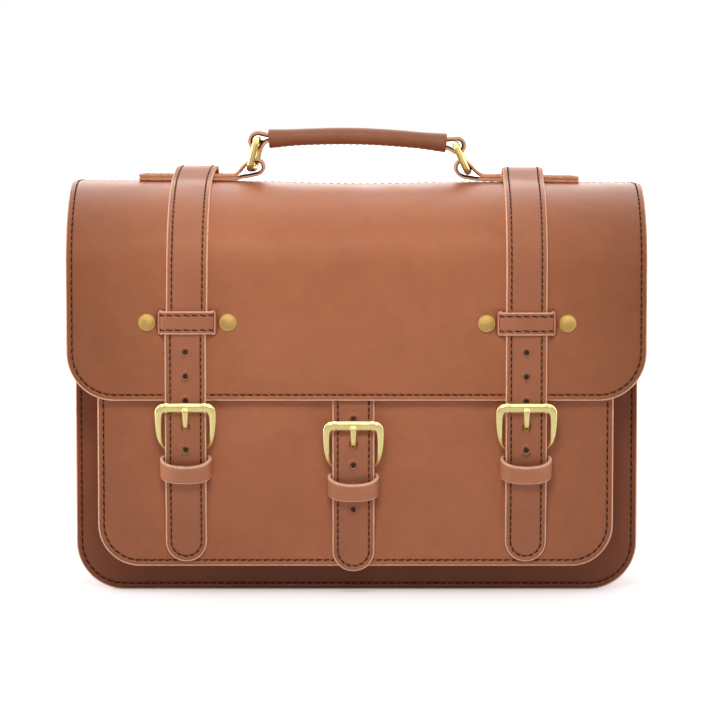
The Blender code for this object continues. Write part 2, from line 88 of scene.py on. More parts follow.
LOOP_Z = {side: middle(f"flap_loop_{side}", 2) for side in ("left", "right")}
RIVET_OFFSET = 28.3
LOOP_SHIFT = {"left": 1.1, "right": 0.0}
# Each strap's way sideways at its loop, the crest's front, the handle's base and the back.
LEAN = {"left": (1.0, 2.4, 5.8, 2.6), "right": (0.0, 0.2, 0.3, 0.2)}
HANDLE_Y = middle("handle_grip", 1) - DATUM_Y
WIRE = 2.2
RING_LOW = {"left": JOINT["handle_sway"][[0, 2]], "right": JOINT["ring_right_sway"][[0, 2]]}
RING_HIGH = {
    "left": JOINT["handle_level"][[0, 2]],
    "right": np.array((box("handle_ring_right")[0][0] + WIRE, box("handle_ring_right")[1][2] - WIRE)),
}
PITCH = 5.3
STRAP_PITCH = 4.7
LOOP_PITCH = 5.6
# How far in from a cut edge the stitching runs.
SEAM = 4.2
STRAP_SEAM = 3.9
PANEL_THICK = 2.8
PANEL_CORNER = 34.0
POCKET_CORNER = 29.5
# Directions that a face looks in, the bag's front being at -y.
FRONTWARD, REARWARD, UPWARD, DOWNWARD = (0, -1, 0), (0, 1, 0), (0, 0, 1), (0, 0, -1)
HOLE_SIDES = 20
RIVET_SIDES = 40
STITCH_SIDES = 6
random.seed(7)


# ---------------------------------------------------------------- materials

def fill(node, values):
    for socket, value in values.items():
        node.inputs[socket].default_value = value


def add(tree, kind, values=None, **settings):
    """A new shader node: values fills its sockets, settings are its own options."""
    node = tree.nodes.new("ShaderNode" + kind)
    for key, value in settings.items():
        setattr(node, key, value)
    fill(node, values or {})
    return node


def shader(name, colour, roughness, metallic=0.0):
    made = bpy.data.materials.new(name)
    made.use_nodes = True
    node = made.node_tree.nodes["Principled BSDF"]
    fill(node, {"Base Color": (*colour, 1.0), "Roughness": roughness, "Metallic": metallic})
    return made, made.node_tree, node


def coordinates(tree, kind="Object"):
    return add(tree, "TexCoord").outputs[kind]


def noise(tree, scale, detail=4.0, rough=0.55, stretch=None):
    """The value of a noise in the object's own space, in cycles per metre."""
    where = coordinates(tree)
    if stretch:
        mapping = add(tree, "Mapping", {"Scale": stretch})
        tree.links.new(where, mapping.inputs["Vector"])
        where = mapping.outputs["Vector"]
    texture = add(tree, "TexNoise", {"Scale": scale, "Detail": detail, "Roughness": rough})
    tree.links.new(where, texture.inputs["Vector"])
    return texture.outputs["Fac"]


def spread(tree, value, low, high, start=0.3, end=0.7):
    """Maps start..end onto low..high, and holds the ends outside it."""
    node = add(tree, "MapRange", {"From Min": start, "From Max": end, "To Min": low, "To Max": high})
    tree.links.new(value, node.inputs["Value"])
    return node.outputs["Result"]


def mix(tree, factor, one, two, mode="MIX"):
    node = add(tree, "Mix", data_type="RGBA", blend_type=mode)
    for socket, value in (("Factor", factor), ("A", one), ("B", two)):
        fitting = [s for s in node.inputs if s.name == socket and s.type in ("RGBA", "VALUE")]
        target = fitting[0] if socket == "Factor" else fitting[-1]
        if isinstance(value, bpy.types.NodeSocket):
            tree.links.new(value, target)
        else:
            target.default_value = value if socket == "Factor" else (*value, 1.0)
    return next(s for s in node.outputs if s.type == "RGBA")


def bump(tree, node, layers):
    """Stacks height layers, each (value, strength, distance in millimetres), into the shader's normal."""
    normal = None
    for value, strength, distance in layers:
        made = add(tree, "Bump", {"Strength": strength, "Distance": distance * MM})
        tree.links.new(value, made.inputs["Height"])
        if normal is not None:
            tree.links.new(normal, made.inputs["Normal"])
        normal = made.outputs["Normal"]
    tree.links.new(normal, node.inputs["Normal"])


def shaded(tree, tone, deep):
    """The tone, turning to the deep one, as painted shade, where the mesh's seam attribute rises to 1."""
    seam = add(tree, "Attribute", attribute_name="seam")
    return mix(tree, seam.outputs["Fac"], tone, deep)


def leather(name, light, dark, roughness=0.42, painted_side_shade=1.0):
    """Smooth vegetable-tanned leather: clouded colour, fine pores, faint creases, and painted shade where the
    seam attribute is set.

    The last argument, below 1, darkens the piece towards the bag's two ends: painted shade for the light
    falling off at the sides.
    """
    made, tree, node = shader(name, light, roughness)
    cloud = spread(tree, noise(tree, 11.0, 5.0, 0.6), 0.0, 1.0, 0.32, 0.68)
    tone = mix(tree, cloud, dark, light)
    fleck = spread(tree, noise(tree, 75.0, 6.0, 0.7), 0.93, 1.05)
    grey = add(tree, "CombineColor")
    for channel in ("Red", "Green", "Blue"):
        tree.links.new(fleck, grey.inputs[channel])
    tone = mix(tree, 1.0, tone, grey.outputs["Color"], "MULTIPLY")
    # Painted shade: darker towards the bag's two ends, where the light falls off.
    if painted_side_shade < 1.0:
        place = add(tree, "SeparateXYZ")
        tree.links.new(coordinates(tree), place.inputs["Vector"])
        away = add(tree, "Math", operation="ABSOLUTE")
        tree.links.new(place.outputs["X"], away.inputs[0])
        depth = spread(tree, away.outputs["Value"], 0.0, 1.0, 0.11, 0.20)
        tone = mix(tree, depth, tone, (painted_side_shade, painted_side_shade * 0.97, painted_side_shade * 0.95), "MULTIPLY")
    # Painted shade: the seam attribute blackens the stitch grooves, hole walls and shadowed insides.
    tone = shaded(tree, tone, tuple(0.16 * c for c in dark))
    tree.links.new(tone, node.inputs["Base Color"])
    gloss = spread(tree, noise(tree, 28.0, 6.0, 0.65), roughness - 0.06, roughness + 0.10)
    tree.links.new(gloss, node.inputs["Roughness"])
    fill(node, {"Specular IOR Level": 0.33, "Coat Weight": 0.03, "Coat Roughness": 0.38})
    pores = add(tree, "TexVoronoi", {"Scale": 900.0}, feature="SMOOTH_F1")
    tree.links.new(coordinates(tree), pores.inputs["Vector"])
    bump(tree, node, (
        (noise(tree, 16.0, 4.0, 0.5), 0.35, 0.9),
        (noise(tree, 130.0, 5.0, 0.6), 0.25, 0.22),
        (pores.outputs["Distance"], 0.30, 0.10),
        (noise(tree, 2400.0, 2.0, 0.6), 0.20, 0.03),
    ))
    return made


def two_toned(tree, node, light, dark, clouds, deep):
    """Colours a surface between two tones by a noise, blackened as painted shade where the seam attribute is
    set.
    """
    tone = mix(tree, spread(tree, clouds, 0.0, 1.0), dark, light)
    tree.links.new(shaded(tree, tone, tuple(deep * c for c in dark)), node.inputs["Base Color"])


def raw_edge(name, light, dark):
    """Undyed cut edge: pale, a little fibrous and waxed."""
    made, tree, node = shader(name, light, 0.75)
    fill(node, {"Specular IOR Level": 0.15})
    two_toned(tree, node, light, dark, noise(tree, 260.0, 5.0, 0.7), 0.03)
    bump(tree, node, ((noise(tree, 1200.0, 4.0, 0.7), 0.35, 0.12),))
    return made


def flesh(name, light, dark):
    """The napped inner side of the hide."""
    made, tree, node = shader(name, light, 0.92)
    fill(node, {"Specular IOR Level": 0.1, "Sheen Weight": 0.1, "Sheen Roughness": 0.6})
    two_toned(tree, node, light, dark, noise(tree, 38.0, 8.0, 0.75), 0.04)
    bump(tree, node, (
        (noise(tree, 900.0, 6.0, 0.8), 0.55, 0.25),
        (noise(tree, 140.0, 5.0, 0.7), 0.30, 0.30),
    ))
    return made


def brass(name, colour, tarnish, roughness, wear):
    """Cast brass: a polished skin with faint ripples, fine scratches and some tarnish."""
    made, tree, node = shader(name, colour, roughness, 1.0)
    cover = spread(tree, noise(tree, 160.0, 6.0, 0.65), 0.0, wear, 0.42, 0.72)
    tree.links.new(mix(tree, cover, colour, tarnish), node.inputs["Base Color"])
    gloss = spread(tree, noise(tree, 420.0, 5.0, 0.7), roughness * 0.75, roughness * 1.5)
    tree.links.new(gloss, node.inputs["Roughness"])
    bump(tree, node, (
        (noise(tree, 110.0, 3.0, 0.5), 0.30, 0.25),
        (noise(tree, 900.0, 2.0, 0.5, (1.0, 1.0, 7.0)), 0.10, 0.03),
    ))
    return made


def thread(name, light, dark):
    """Waxed linen thread, with its plies as fine slanted ridges."""
    made, tree, node = shader(name, light, 0.9)
    fill(node, {"Specular IOR Level": 0.03})
    wave = add(tree, "TexWave", {"Scale": 420.0, "Distortion": 1.5},
               wave_type="BANDS", bands_direction="DIAGONAL")
    tree.links.new(coordinates(tree), wave.inputs["Vector"])
    tree.links.new(mix(tree, wave.outputs["Fac"], dark, light), node.inputs["Base Color"])
    bump(tree, node, ((wave.outputs["Fac"], 0.5, 0.15),))
    return made


EDGE = raw_edge("edge_raw", (1.0, 0.63, 0.44), (0.80, 0.44, 0.29))
BASE_EDGE = raw_edge("edge_raw_brown", (0.98, 0.53, 0.32), (0.72, 0.35, 0.19))
FLESH = flesh("flesh_side", (0.46, 0.235, 0.125), (0.33, 0.155, 0.08))
SKIN = {
    "flap_leather": leather("skin_flap", (0.49, 0.166, 0.071), (0.42, 0.136, 0.056), painted_side_shade=0.80),
    "pocket_leather": leather("skin_pocket", (0.52, 0.182, 0.084), (0.45, 0.150, 0.067), painted_side_shade=0.82),
    # The panel's leather is darkened as painted shade, for the shade it lies in behind the pocket and flap.
    "panel_leather": leather("skin_panel_painted_shade", (0.30, 0.090, 0.038), (0.26, 0.076, 0.032)),
    "gusset_leather": leather("skin_gusset", (0.4, 0.13, 0.062), (0.33, 0.102, 0.047), 0.46),
    "strap_leather": leather("skin_strap", (0.48, 0.172, 0.084), (0.42, 0.145, 0.068), 0.40),
    "loop_leather": leather("skin_loop", (0.5, 0.18, 0.092), (0.43, 0.148, 0.072), 0.40),
    "keeper": leather("skin_keeper", (0.66, 0.270, 0.142), (0.58, 0.225, 0.115), 0.44),
    "chape_leather": leather("skin_chape", (0.44, 0.155, 0.078), (0.37, 0.125, 0.06), 0.44),
    "grip_leather": leather("skin_grip", (0.36, 0.132, 0.064), (0.30, 0.104, 0.050), 0.38),
    "base_leather": leather("skin_base", (0.48, 0.175, 0.088), (0.41, 0.145, 0.07), 0.42),
}
THREAD = thread("waxed_thread", (0.080, 0.026, 0.012), (0.034, 0.011, 0.006))
POLISHED = brass("brass_polished", (1.0, 0.86, 0.38), (0.78, 0.57, 0.19), 0.12, 0.25)
AGED = brass("brass_aged", (0.80, 0.62, 0.24), (0.44, 0.30, 0.11), 0.20, 0.4)
SATIN = brass("brass_satin", (0.66, 0.42, 0.13), (0.46, 0.29, 0.09), 0.42, 0.5)


# ---------------------------------------------------------------- curves and surfaces

def smooth(points, steps):
    """A Catmull-Rom curve through the points, with this many steps between each two."""
    points = np.asarray(points, float)
    padded = np.vstack([2 * points[0] - points[1], points, 2 * points[-1] - points[-2]])
    made = []
    for index in range(len(points) - 1):
        a, b, c, d = padded[index : index + 4]
        for step in range(steps):
            t = step / steps
            made.append(0.5 * (2 * b + (c - a) * t + (2 * a - 5 * b + 4 * c - d) * t**2
                               + (3 * b - a - 3 * c + d) * t**3))
    made.append(points[-1])
    return np.array(made)


def lengths(points):
    return np.concatenate([[0.0], np.cumsum(np.linalg.norm(np.diff(points, axis=0), axis=1))])


def units(vectors):
    return vectors / np.maximum(np.linalg.norm(vectors, axis=-1, keepdims=True), 1e-9)


def ease(value):
    value = np.clip(value, 0.0, 1.0)
    return value * value * (3 - 2 * value)


class Course:
    """A strip's outer face: u runs across it, s along it and n out of it, all in millimetres.

    half scales u along the strip, so that the strip can taper.
    """

    def __init__(self, points, side, half=None):
        self.points = np.asarray(points, float)
        self.along = lengths(self.points)
        self.length = self.along[-1]
        self.side = units(np.broadcast_to(np.asarray(side, float), self.points.shape).copy())
        tangent = np.gradient(self.points, axis=0)
        self.normal = units(np.cross(tangent, self.side))
        self.half = half

    def facing(self, direction, index=0):
        """Turns the outward normal round where that makes this point of the strip look in the direction."""
        if np.dot(self.normal[index], direction) < 0:
            self.normal *= -1
        return self

    def pick(self, values, s):
        return np.stack([np.interp(s, self.along, values[:, axis]) for axis in range(3)], axis=-1)

    def __call__(self, u, s, n):
        s = np.asarray(s, float)
        u = np.asarray(u, float)
        if self.half is not None:
            u = u * np.interp(s, self.along, self.half)
        side, normal = units(self.pick(self.side, s)), units(self.pick(self.normal, s))
        return self.pick(self.points, s) + side * u[..., None] + normal * np.asarray(n)[..., None]


def flap_line():
    """The flap's outer profile as (y, z), with its outward normals, as the CAD flap has it."""
    control = (
        (40.8, 287.2), (34.0, 288.1), (26.0, 288.55), (20.0, 288.6), (8.0, 288.6), (-4.0, 288.6),
        (-12.0, 288.1), (-22.0, 286.4), (-34.0, 282.3), (-46.0, 276.0), (-56.0, 268.0),
        (-64.0, 258.5), (-69.5, 247.5), (-71.8, 238.0), (FLAP_FRONT, 228.0),
    )
    straight = np.linspace(228.0, HEM, 30)[1:]
    line = np.vstack([smooth(control, 6), np.column_stack([np.full(len(straight), FLAP_FRONT), straight])])
    tangent = np.gradient(line, axis=0)
    normal = units(np.column_stack([tangent[:, 1], -tangent[:, 0]]))
    return line, np.where(normal[:, 1:] < -0.5, -normal, normal)


FLAP_LINE, FLAP_NORMAL = flap_line()
FLAP_ALONG = lengths(FLAP_LINE)
FLAP_LENGTH = FLAP_ALONG[-1]


def flap_at(height):
    """How far along the flap its front reaches this height."""
    front = FLAP_LINE[:, 0] < -60
    return float(np.interp(-height, -FLAP_LINE[front, 1], FLAP_ALONG[front]))


def flap_face(u, s, n):
    """The flap's outer face: x across, s from the rear edge to the hem, n outwards."""
    u, s, n = (np.asarray(value, float) for value in (u, s, n))
    y = np.interp(s, FLAP_ALONG, FLAP_LINE[:, 0])
    z = np.interp(s, FLAP_ALONG, FLAP_LINE[:, 1])
    ny = np.interp(s, FLAP_ALONG, FLAP_NORMAL[:, 0])
    nz = np.interp(s, FLAP_ALONG, FLAP_NORMAL[:, 1])
    crest = ease(1 - np.abs(s - 25.0) / 75.0)
    sag = crest * (-2.2 * ease(1 - np.abs(u) / 95.0) - 0.9 * u / 180.0)
    drape = 0.35 * np.sin(u / 41.0 + 0.6) * np.sin(s / 37.0) + 0.25 * np.sin(u / 17.0 - s / 29.0)
    drape = drape * ease((s - 70.0) / 60.0) * ease((FLAP_LENGTH - s) / 40.0 + 0.15)
    n = n + sag + drape
    return np.stack([u, y + ny * n, z + nz * n], axis=-1)


def standing(u, v, y):
    """Points of a face that stands upright, given how far back each lies."""
    return np.stack([u, y + 0.0 * u, v + 0.0 * u], axis=-1)


def front_face(u, v, n):
    """The front panel's outer face, which ripples a little."""
    u, v, n = (np.asarray(value, float) for value in (u, v, n))
    share = np.clip(v / PANEL_HIGH, 0, 1)
    wave = 0.18 * np.sin(u / 33.0 + v / 47.0) * np.sin(math.pi * share)
    return standing(u, v, FRONT - (n + wave))


# ---------------------------------------------------------------- mesh making

def finish_mesh(name, verts, faces, slots, materials, seam=None):
    mesh = bpy.data.meshes.new(name)
    points = (np.asarray(verts, float) + (0.0, DATUM_Y, 0.0)) * MM
    mesh.from_pydata(points.tolist(), [], [tuple(int(i) for i in face) for face in faces])
    for made in materials:
        mesh.materials.append(made)
    mesh.polygons.foreach_set("material_index", np.asarray(slots, np.int32))
    mesh.polygons.foreach_set("use_smooth", np.ones(len(mesh.polygons), bool))
    # The seam attribute is painted shade: 1 where the surface lies in a groove, a hole or a shadowed inside.
    if seam is not None:
        attribute = mesh.attributes.new("seam", "FLOAT", "POINT")
        attribute.data.foreach_set("value", np.asarray(seam, np.float32))
    mesh.update()
    made = bpy.data.objects.new(name, mesh)
    bpy.context.scene.collection.objects.link(made)
    return made


def ring_faces(first, second, size):
    """The quads between two closed rings of points, given the number of each ring's first point."""
    steps = [(i, (i + 1) % size) for i in range(size)]
    return [(first + i, first + j, second + j, second + i) for i, j in steps]


def stack_faces(rings, size, closed=False, start=0):
    """The faces round a stack of rings, with a cap at each end unless it closes on itself."""
    faces = []
    for ring in range(rings if closed else rings - 1):
        faces += ring_faces(start + ring * size, start + (ring + 1) % rings * size, size)
    if not closed:
        last = start + (rings - 1) * size
        faces += [tuple(reversed(range(start, start + size))), tuple(range(last, last + size))]
    return faces


def corners(box_uv):
    """A box's corners from the lower right, anticlockwise, each with the way in to its middle."""
    u0, u1, v0, v1 = box_uv
    return (u1, v0, -1, 1), (u1, v1, -1, -1), (u0, v1, 1, -1), (u0, v0, 1, 1)


def rounded(box_uv, radii, inset, step):
    """A closed rounded rectangle, anticlockwise from the lower right corner; the count ignores inset."""
    u0, u1, v0, v1 = box_uv
    made, arcs = [], []
    for (u, v, du, dv), start, radius in zip(corners(box_uv), (-90, 0, 90, 180), radii):
        kept = max(radius - inset, 0.3)
        centre = (u + du * (inset + kept), v + dv * (inset + kept))
        count = max(4, int(math.ceil(radius * 1.57 / min(step, 3.0))))
        turns = np.radians(start + 90 * np.arange(count + 1) / count)
        arcs.append(np.column_stack([centre[0] + kept * np.cos(turns), centre[1] + kept * np.sin(turns)]))
    sides = ((v1 - v0, radii[0] + radii[1]), (u1 - u0, radii[1] + radii[2]),
             (v1 - v0, radii[2] + radii[3]), (u1 - u0, radii[3] + radii[0]))
    for index, (span, used) in enumerate(sides):
        made.append(arcs[index])
        pieces = max(1, int(round((span - used) / step)))
        share = (np.arange(1, pieces) / pieces)[:, None]
        made.append(arcs[index][-1] * (1 - share) + arcs[(index + 1) % 4][0] * share)
    return np.vstack(made)


def stadium(hole, grow):
    """A round-ended hole's outline: hole is (u, v, radius, half of its straight length along v)."""
    u, v, radius, half = hole
    turns = 2 * math.pi * np.arange(HOLE_SIDES) / HOLE_SIDES
    shift = np.where(np.sin(turns) > 1e-6, half, np.where(np.sin(turns) < -1e-6, -half, 0.0))
    return np.column_stack([u + (radius + grow) * np.cos(turns), v + shift + (radius + grow) * np.sin(turns)])


def from_hole(u, v, hole):
    """The distance to the straight line inside a hole that its outline runs round."""
    return math.hypot(u - hole[0], max(abs(v - hole[1]) - hole[3], 0.0))


def sheet(name, face, box_uv, radii, thick, skin, seam=None, holes=(), lips=False, step=5.0, grid=7.0,
          rim=1.0, groove=0.28, edge=EDGE, sooty=None):
    """A piece of leather: skin outside, pale eased edges, flesh inside, a groove for the seam darkened with
    painted shade, and holes.

    A hole is (u, v, radius, half of its straight length). A round one is blind, its walls and bottom painted
    black as shade, and an oblong one goes through, with painted shade on its walls. The last argument, if
    given, is a stretch of v whose inner side is painted black as shade, for the shadow inside a loop.
    """
    rim = min(rim, thick * 0.48)
    last = seam + 1.7 if seam else rim * 1.3 + 0.6
    # Each ring of points is (inset, n, painted shade): the upper ones from mid-edge in, then the lower ones.
    upper = [(0.0, -thick / 2, 0.0), (0.0, -rim * 0.8, 0.0), (rim * 0.12, -rim * 0.42, 0.0),
             (rim * 0.45, -rim * 0.12, 0.0), (rim * 0.95, 0.0, 0.0), (rim * 1.3, 0.02, 0.0)]
    if seam:
        # The groove's two middle rings are darkened as painted shade.
        upper += [(seam - 0.85, 0.0, 0.0), (seam - 0.45, -groove, 0.22), (seam + 0.45, -groove, 0.22),
                  (seam + 0.85, 0.0, 0.0)]
    upper.append((last, 0.0, 0.0))
    lower = [(0.0, -thick + rim * 0.8, 0.0), (rim * 0.12, -thick + rim * 0.42, 0.0),
             (rim * 0.45, -thick + rim * 0.12, 0.0), (rim * 0.95, -thick, 0.0), (last, -thick, 0.0)]
    flat, shade, faces, slots = [], [], [], []
    for inset, n, dark in upper + lower:
        loop = rounded(box_uv, radii, inset, step)
        flat.extend(np.column_stack([loop, np.full(len(loop), n)]))
        shade += [dark] * len(loop)
    count = len(loop)

    def join(first, second, slot, size=count, turned=False):
        for quad in ring_faces(first, second, size):
            faces.append(quad[::-1] if turned else quad)
            slots.append(slot)

    for ring in range(len(upper) - 1):
        join(ring * count, (ring + 1) * count, 1 if ring < 4 else 0)
    start = len(upper) * count
    join(0, start, 1, turned=True)
    for ring in range(len(lower) - 1):
        join(start + ring * count, start + (ring + 1) * count, 1 if ring < 3 else 2, turned=True)
    top_ring = np.arange(start - count, start)
    low_ring = np.arange(len(flat) - count, len(flat))

    hole_top, hole_low, open_holes = [], [], []
    for hole in holes:
        # Each ring of points is (how far outside the hole, n, material, painted shade).
        if lips:
            steps = [(1.9, 0.0, 0, 0), (1.3, 0.10, 0, 0), (0.7, 0.24, 0, 0), (0.25, 0.20, 1, 0),
                     (0.0, -0.05, 1, 0), (0.0, -0.6, 0, 1), (0.0, -thick + 0.2, 0, 1), (0.5, -thick, 2, 0)]
        else:
            steps = [(0.9, 0.0, 0, 0), (0.45, -0.10, 0, 0), (0.10, -0.32, 0, 0), (0.0, -0.60, 1, 0),
                     (-0.05, -0.8, 0, 1), (-0.05, -thick + 0.5, 0, 1)]
            steps.append((0.5, -thick, 2, 0) if hole[3] else (-0.6, -thick + 0.4, 0, 1))
        begin = len(flat)
        for grow, n, _, black in steps:
            flat.extend(np.column_stack([stadium(hole, grow), np.full(HOLE_SIDES, n)]))
            shade += [float(black)] * HOLE_SIDES
        for ring, (_, _, slot, _) in enumerate(steps[1:]):
            join(begin + ring * HOLE_SIDES, begin + (ring + 1) * HOLE_SIDES, slot, HOLE_SIDES, turned=True)
        hole_top.append(np.arange(begin, begin + HOLE_SIDES))
        last_ring = np.arange(len(flat) - HOLE_SIDES, len(flat))
        if hole[3]:
            hole_low.append(last_ring)
            open_holes.append(hole)
        else:
            # A blind hole's bottom, painted black as the shadow inside the hole.
            faces.append(tuple(last_ring[::-1]))
            slots.append(0)

    def between(low, high):
        """Even steps of about the grid's size from low to high, without the ends."""
        parts = int((high - low) / grid)
        return np.arange(1, parts) * (high - low) / max(1, parts) + low

    u0, u1, v0, v1 = box_uv
    margin = last + min(2.2, grid * 0.4)

    def clear(u, v):
        """Whether a grid point keeps its distance from the outline and the holes."""
        if not (u0 + margin < u < u1 - margin and v0 + margin < v < v1 - margin):
            return False
        for (cu, cv, du, dv), radius in zip(corners(box_uv), radii):
            pu, pv = cu + du * radius, cv + dv * radius
            if (u - pu) * du < 0 and (v - pv) * dv < 0 and math.hypot(u - pu, v - pv) >= radius - margin:
                return False
        return all(from_hole(u, v, hole) > hole[2] + (3.2 if lips else 2.2) for hole in holes)

    inner = [(u, v) for u in between(u0, u1) for v in between(v0, v1) if clear(u, v)]
    sides = ((top_ring, hole_top, holes, 0.0, False, 0), (low_ring, hole_low, open_holes, -thick, True, 2))
    for ring, hole_rings, cuts, n, turned, slot in sides:
        known = [ring] + hole_rings
        points = [tuple(flat[i][:2]) for group in known for i in group] + inner
        ids = [int(i) for group in known for i in group] + list(range(len(flat), len(flat) + len(inner)))
        flat += [np.array((*p, n)) for p in inner]
        shade += [0.0] * len(inner)
        edges, at = [], 0
        for group in known:
            edges += [(at + i, at + (i + 1) % len(group)) for i in range(len(group))]
            at += len(group)
        reach = 0.5 if turned else 1.9 if lips else 0.9
        out, _, triangles, origin, _, _ = geometry.delaunay_2d_cdt(
            [Vector(p) for p in points], edges, [], 0, 1e-5)
        for triangle in triangles:
            centre = sum((out[i] for i in triangle), Vector((0.0, 0.0))) / len(triangle)
            if any(from_hole(*centre, hole) < (hole[2] + reach) * 0.93 for hole in cuts):
                continue
            face_ids = [ids[origin[i][0]] for i in triangle]
            faces.append(face_ids[::-1] if turned else face_ids)
            slots.append(slot)

    flat = np.array(flat)
    # Painted shade: the inner side along this stretch is blackened, for the shadow inside a loop.
    if sooty:
        within = (flat[:, 1] > sooty[0]) & (flat[:, 1] < sooty[1]) & (flat[:, 2] < -0.6 * thick)
        shade = np.where(within, 1.0, shade)
    return outward(finish_mesh(name, face(*flat.T), faces, slots, (skin, edge, FLESH), shade))


def outward(made):
    """Turns every face outwards by the sign of the whole mesh's volume."""
    mesh = made.data
    mesh.calc_loop_triangles()
    points = np.empty(len(mesh.vertices) * 3)
    mesh.vertices.foreach_get("co", points)
    triangles = np.empty(len(mesh.loop_triangles) * 3, np.int32)
    mesh.loop_triangles.foreach_get("vertices", triangles)
    a, b, c = (points.reshape(-1, 3)[triangles[i::3]] for i in range(3))
    if np.einsum("ij,ij->i", a, np.cross(b, c)).sum() < 0:
        mesh.flip_normals()
    return made


def plain(name, verts, faces, skin):
    """A piece of one material."""
    return outward(finish_mesh(name, verts, faces, np.zeros(len(faces)), (skin,)))


def outline_path(box_uv, radii, inset, step=1.5):
    loop = rounded(box_uv, radii, inset, step)
    return np.vstack([loop, loop[:1]])


def stitches(name, face, path, pitch=PITCH, lift=0.18, keep=None, slant=7.0, radius=0.40, reach=0.36):
    """Saddle stitches along a path in (u, s): each is a short slanted bead that dives into the leather."""
    along = lengths(path)
    count = max(1, int(round(along[-1] / pitch)))
    gap = along[-1] / count
    turns = 2 * math.pi * np.arange(STITCH_SIDES) / STITCH_SIDES
    # Along one stitch: (place from -1 to 1, height, fatness).
    stations = ((-1.0, -0.9, 0.85), (-0.78, 0.1, 1.15), (-0.2, 0.8, 0.95), (0.6, 0.45, 0.8),
                (1.0, -0.8, 0.55))
    flat, faces = [], []
    for index in range(count):
        s = (index + 0.5) * gap
        centre, ahead, behind = (np.array([np.interp(s + shift, along, path[:, axis]) for axis in (0, 1)])
                                 for shift in (0.0, 0.6, -0.6))
        if keep is not None and not keep(*centre):
            continue
        course = (ahead - behind) / max(np.linalg.norm(ahead - behind), 1e-9)
        angle = math.radians(slant + random.uniform(-3, 3))
        turned = np.array([course[0] * math.cos(angle) - course[1] * math.sin(angle),
                           course[0] * math.sin(angle) + course[1] * math.cos(angle)])
        across = np.array([-turned[1], turned[0]])
        half = gap * reach * random.uniform(0.95, 1.05)
        begin = len(flat)
        for share, height, fat in stations:
            spot = centre + turned * share * half
            for turn in turns:
                place = spot + across * radius * fat * math.cos(turn)
                flat.append((*place, lift * height + radius * 0.8 * fat * math.sin(turn)))
        faces += stack_faces(len(stations), STITCH_SIDES, start=begin)
    return plain(name, face(*np.array(flat).T), faces, THREAD)


def roof(points):
    """A bar's section, as unit (across, out): a flat back and a low ridge along the middle of its front."""
    turns = ((1.0, -0.35), (1.0, 0.25), (0.86, 0.52), (0.10, 0.98), (-0.10, 0.98), (-0.86, 0.52),
             (-1.0, 0.25), (-1.0, -0.35), (-0.8, -0.85), (0.8, -0.85))
    closed = np.array(turns + turns[:1])
    at = np.arange(points) / points * len(turns)
    return np.column_stack([np.interp(at, range(len(closed)), closed[:, axis]) for axis in (0, 1)])


def tube(name, path, wide, thick, plane, skin, closed=False, points=20, section=None):
    """A bar along a path, with an oval section or the one given."""
    path = np.asarray(path, float)
    tangents = np.roll(path, -1, 0) - np.roll(path, 1, 0) if closed else np.gradient(path, axis=0)
    wides, thicks = (np.broadcast_to(value, len(path)) for value in (wide, thick))
    plane = np.asarray(plane, float) / np.linalg.norm(plane)
    turns = 2 * math.pi * np.arange(points) / points
    cosine, sine = (np.cos(turns), np.sin(turns)) if section is None else section.T
    verts = []
    for point, tangent, a, b in zip(path, tangents, wides, thicks):
        across = np.cross(tangent, plane)
        across /= np.linalg.norm(across)
        out = np.cross(across, tangent)
        out /= np.linalg.norm(out)
        verts.append(point + np.outer(cosine, across) * a + np.outer(sine, out) * b)
    return plain(name, np.vstack(verts), stack_faces(len(path), points, closed), skin)


def settle(piece, body, slot, *nodes):
    """Rides a piece on one body; when body is (a, b, start, end), it only bakes the piece's transform in
    place.
    """
    if isinstance(body, tuple):
        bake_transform(piece)
    else:
        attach(piece, body)
    if nodes:
        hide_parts(*nodes)
    return piece


def sew(name, face, path, body, slot, **options):
    return settle(stitches(name, face, path, **options), body, slot)


def cut(name, face, outline, thick, body, slot, *nodes, skin=None, **options):
    """A sheet that replaces the CAD nodes, in its slot's leather; outline is (box, corner radii)."""
    return settle(sheet(name, face, *outline, thick, SKIN[skin or slot], **options), body, slot, *nodes)


def sewn(names, face, outline, thick, body, slot, *nodes, seam=SEAM, pitch=PITCH, keep=None, **options):
    """A cut sheet and the stitching round it; names are theirs, and keep says where there is stitching."""
    cut(names[0], face, outline, thick, body, slot, *nodes, seam=seam, **options)
    sew(names[1], face, outline_path(*outline, seam), body, slot, pitch=pitch, keep=keep)


# ---------------------------------------------------------------- body

REAR_BEND = ("bag", "flap", (0.0, 43.0, 268.0), (0.0, 31.0, 291.0))
# The closure straps also come down the front; settle reads nothing of this slope.
STRAP_BEND = ("bag", "flap", (0.0, BACK + 3.0, 265.4), (0.0, BACK - 11.4, 277.75))

sewn(("front_panel_leather", "front_panel_stitching"), front_face,
     ((-PANEL_HALF, PANEL_HALF, 0.0, PANEL_HIGH), (PANEL_CORNER, 8.0, 8.0, PANEL_CORNER)), PANEL_THICK,
     "bag", "panel_leather", "front_panel", grid=14.0, keep=lambda u, v: v < PANEL_HIGH - 8.0)

arc = [(BACK - 8 + 8 * math.cos(a), 275.9 + 8 * math.sin(a)) for a in np.linspace(0, math.pi / 2, 9)]
back_line = [(BACK, z) for z in np.linspace(0.0, 268.0, 20)] + arc
back_line += [(26.0, 283.95), (18.0, 284.0), (10.0, 284.0)]
back_face = Course([(0.0, y, z) for y, z in back_line], (-1, 0, 0)).facing(REARWARD)
sewn(("back_panel_leather", "back_panel_stitching"), back_face,
     ((-PANEL_HALF, PANEL_HALF, 0.0, back_face.length), (PANEL_CORNER, 12.0, 12.0, PANEL_CORNER)),
     PANEL_THICK, REAR_BEND, "panel_leather", "back_panel", grid=5.0, keep=lambda u, v: v < 262.0)

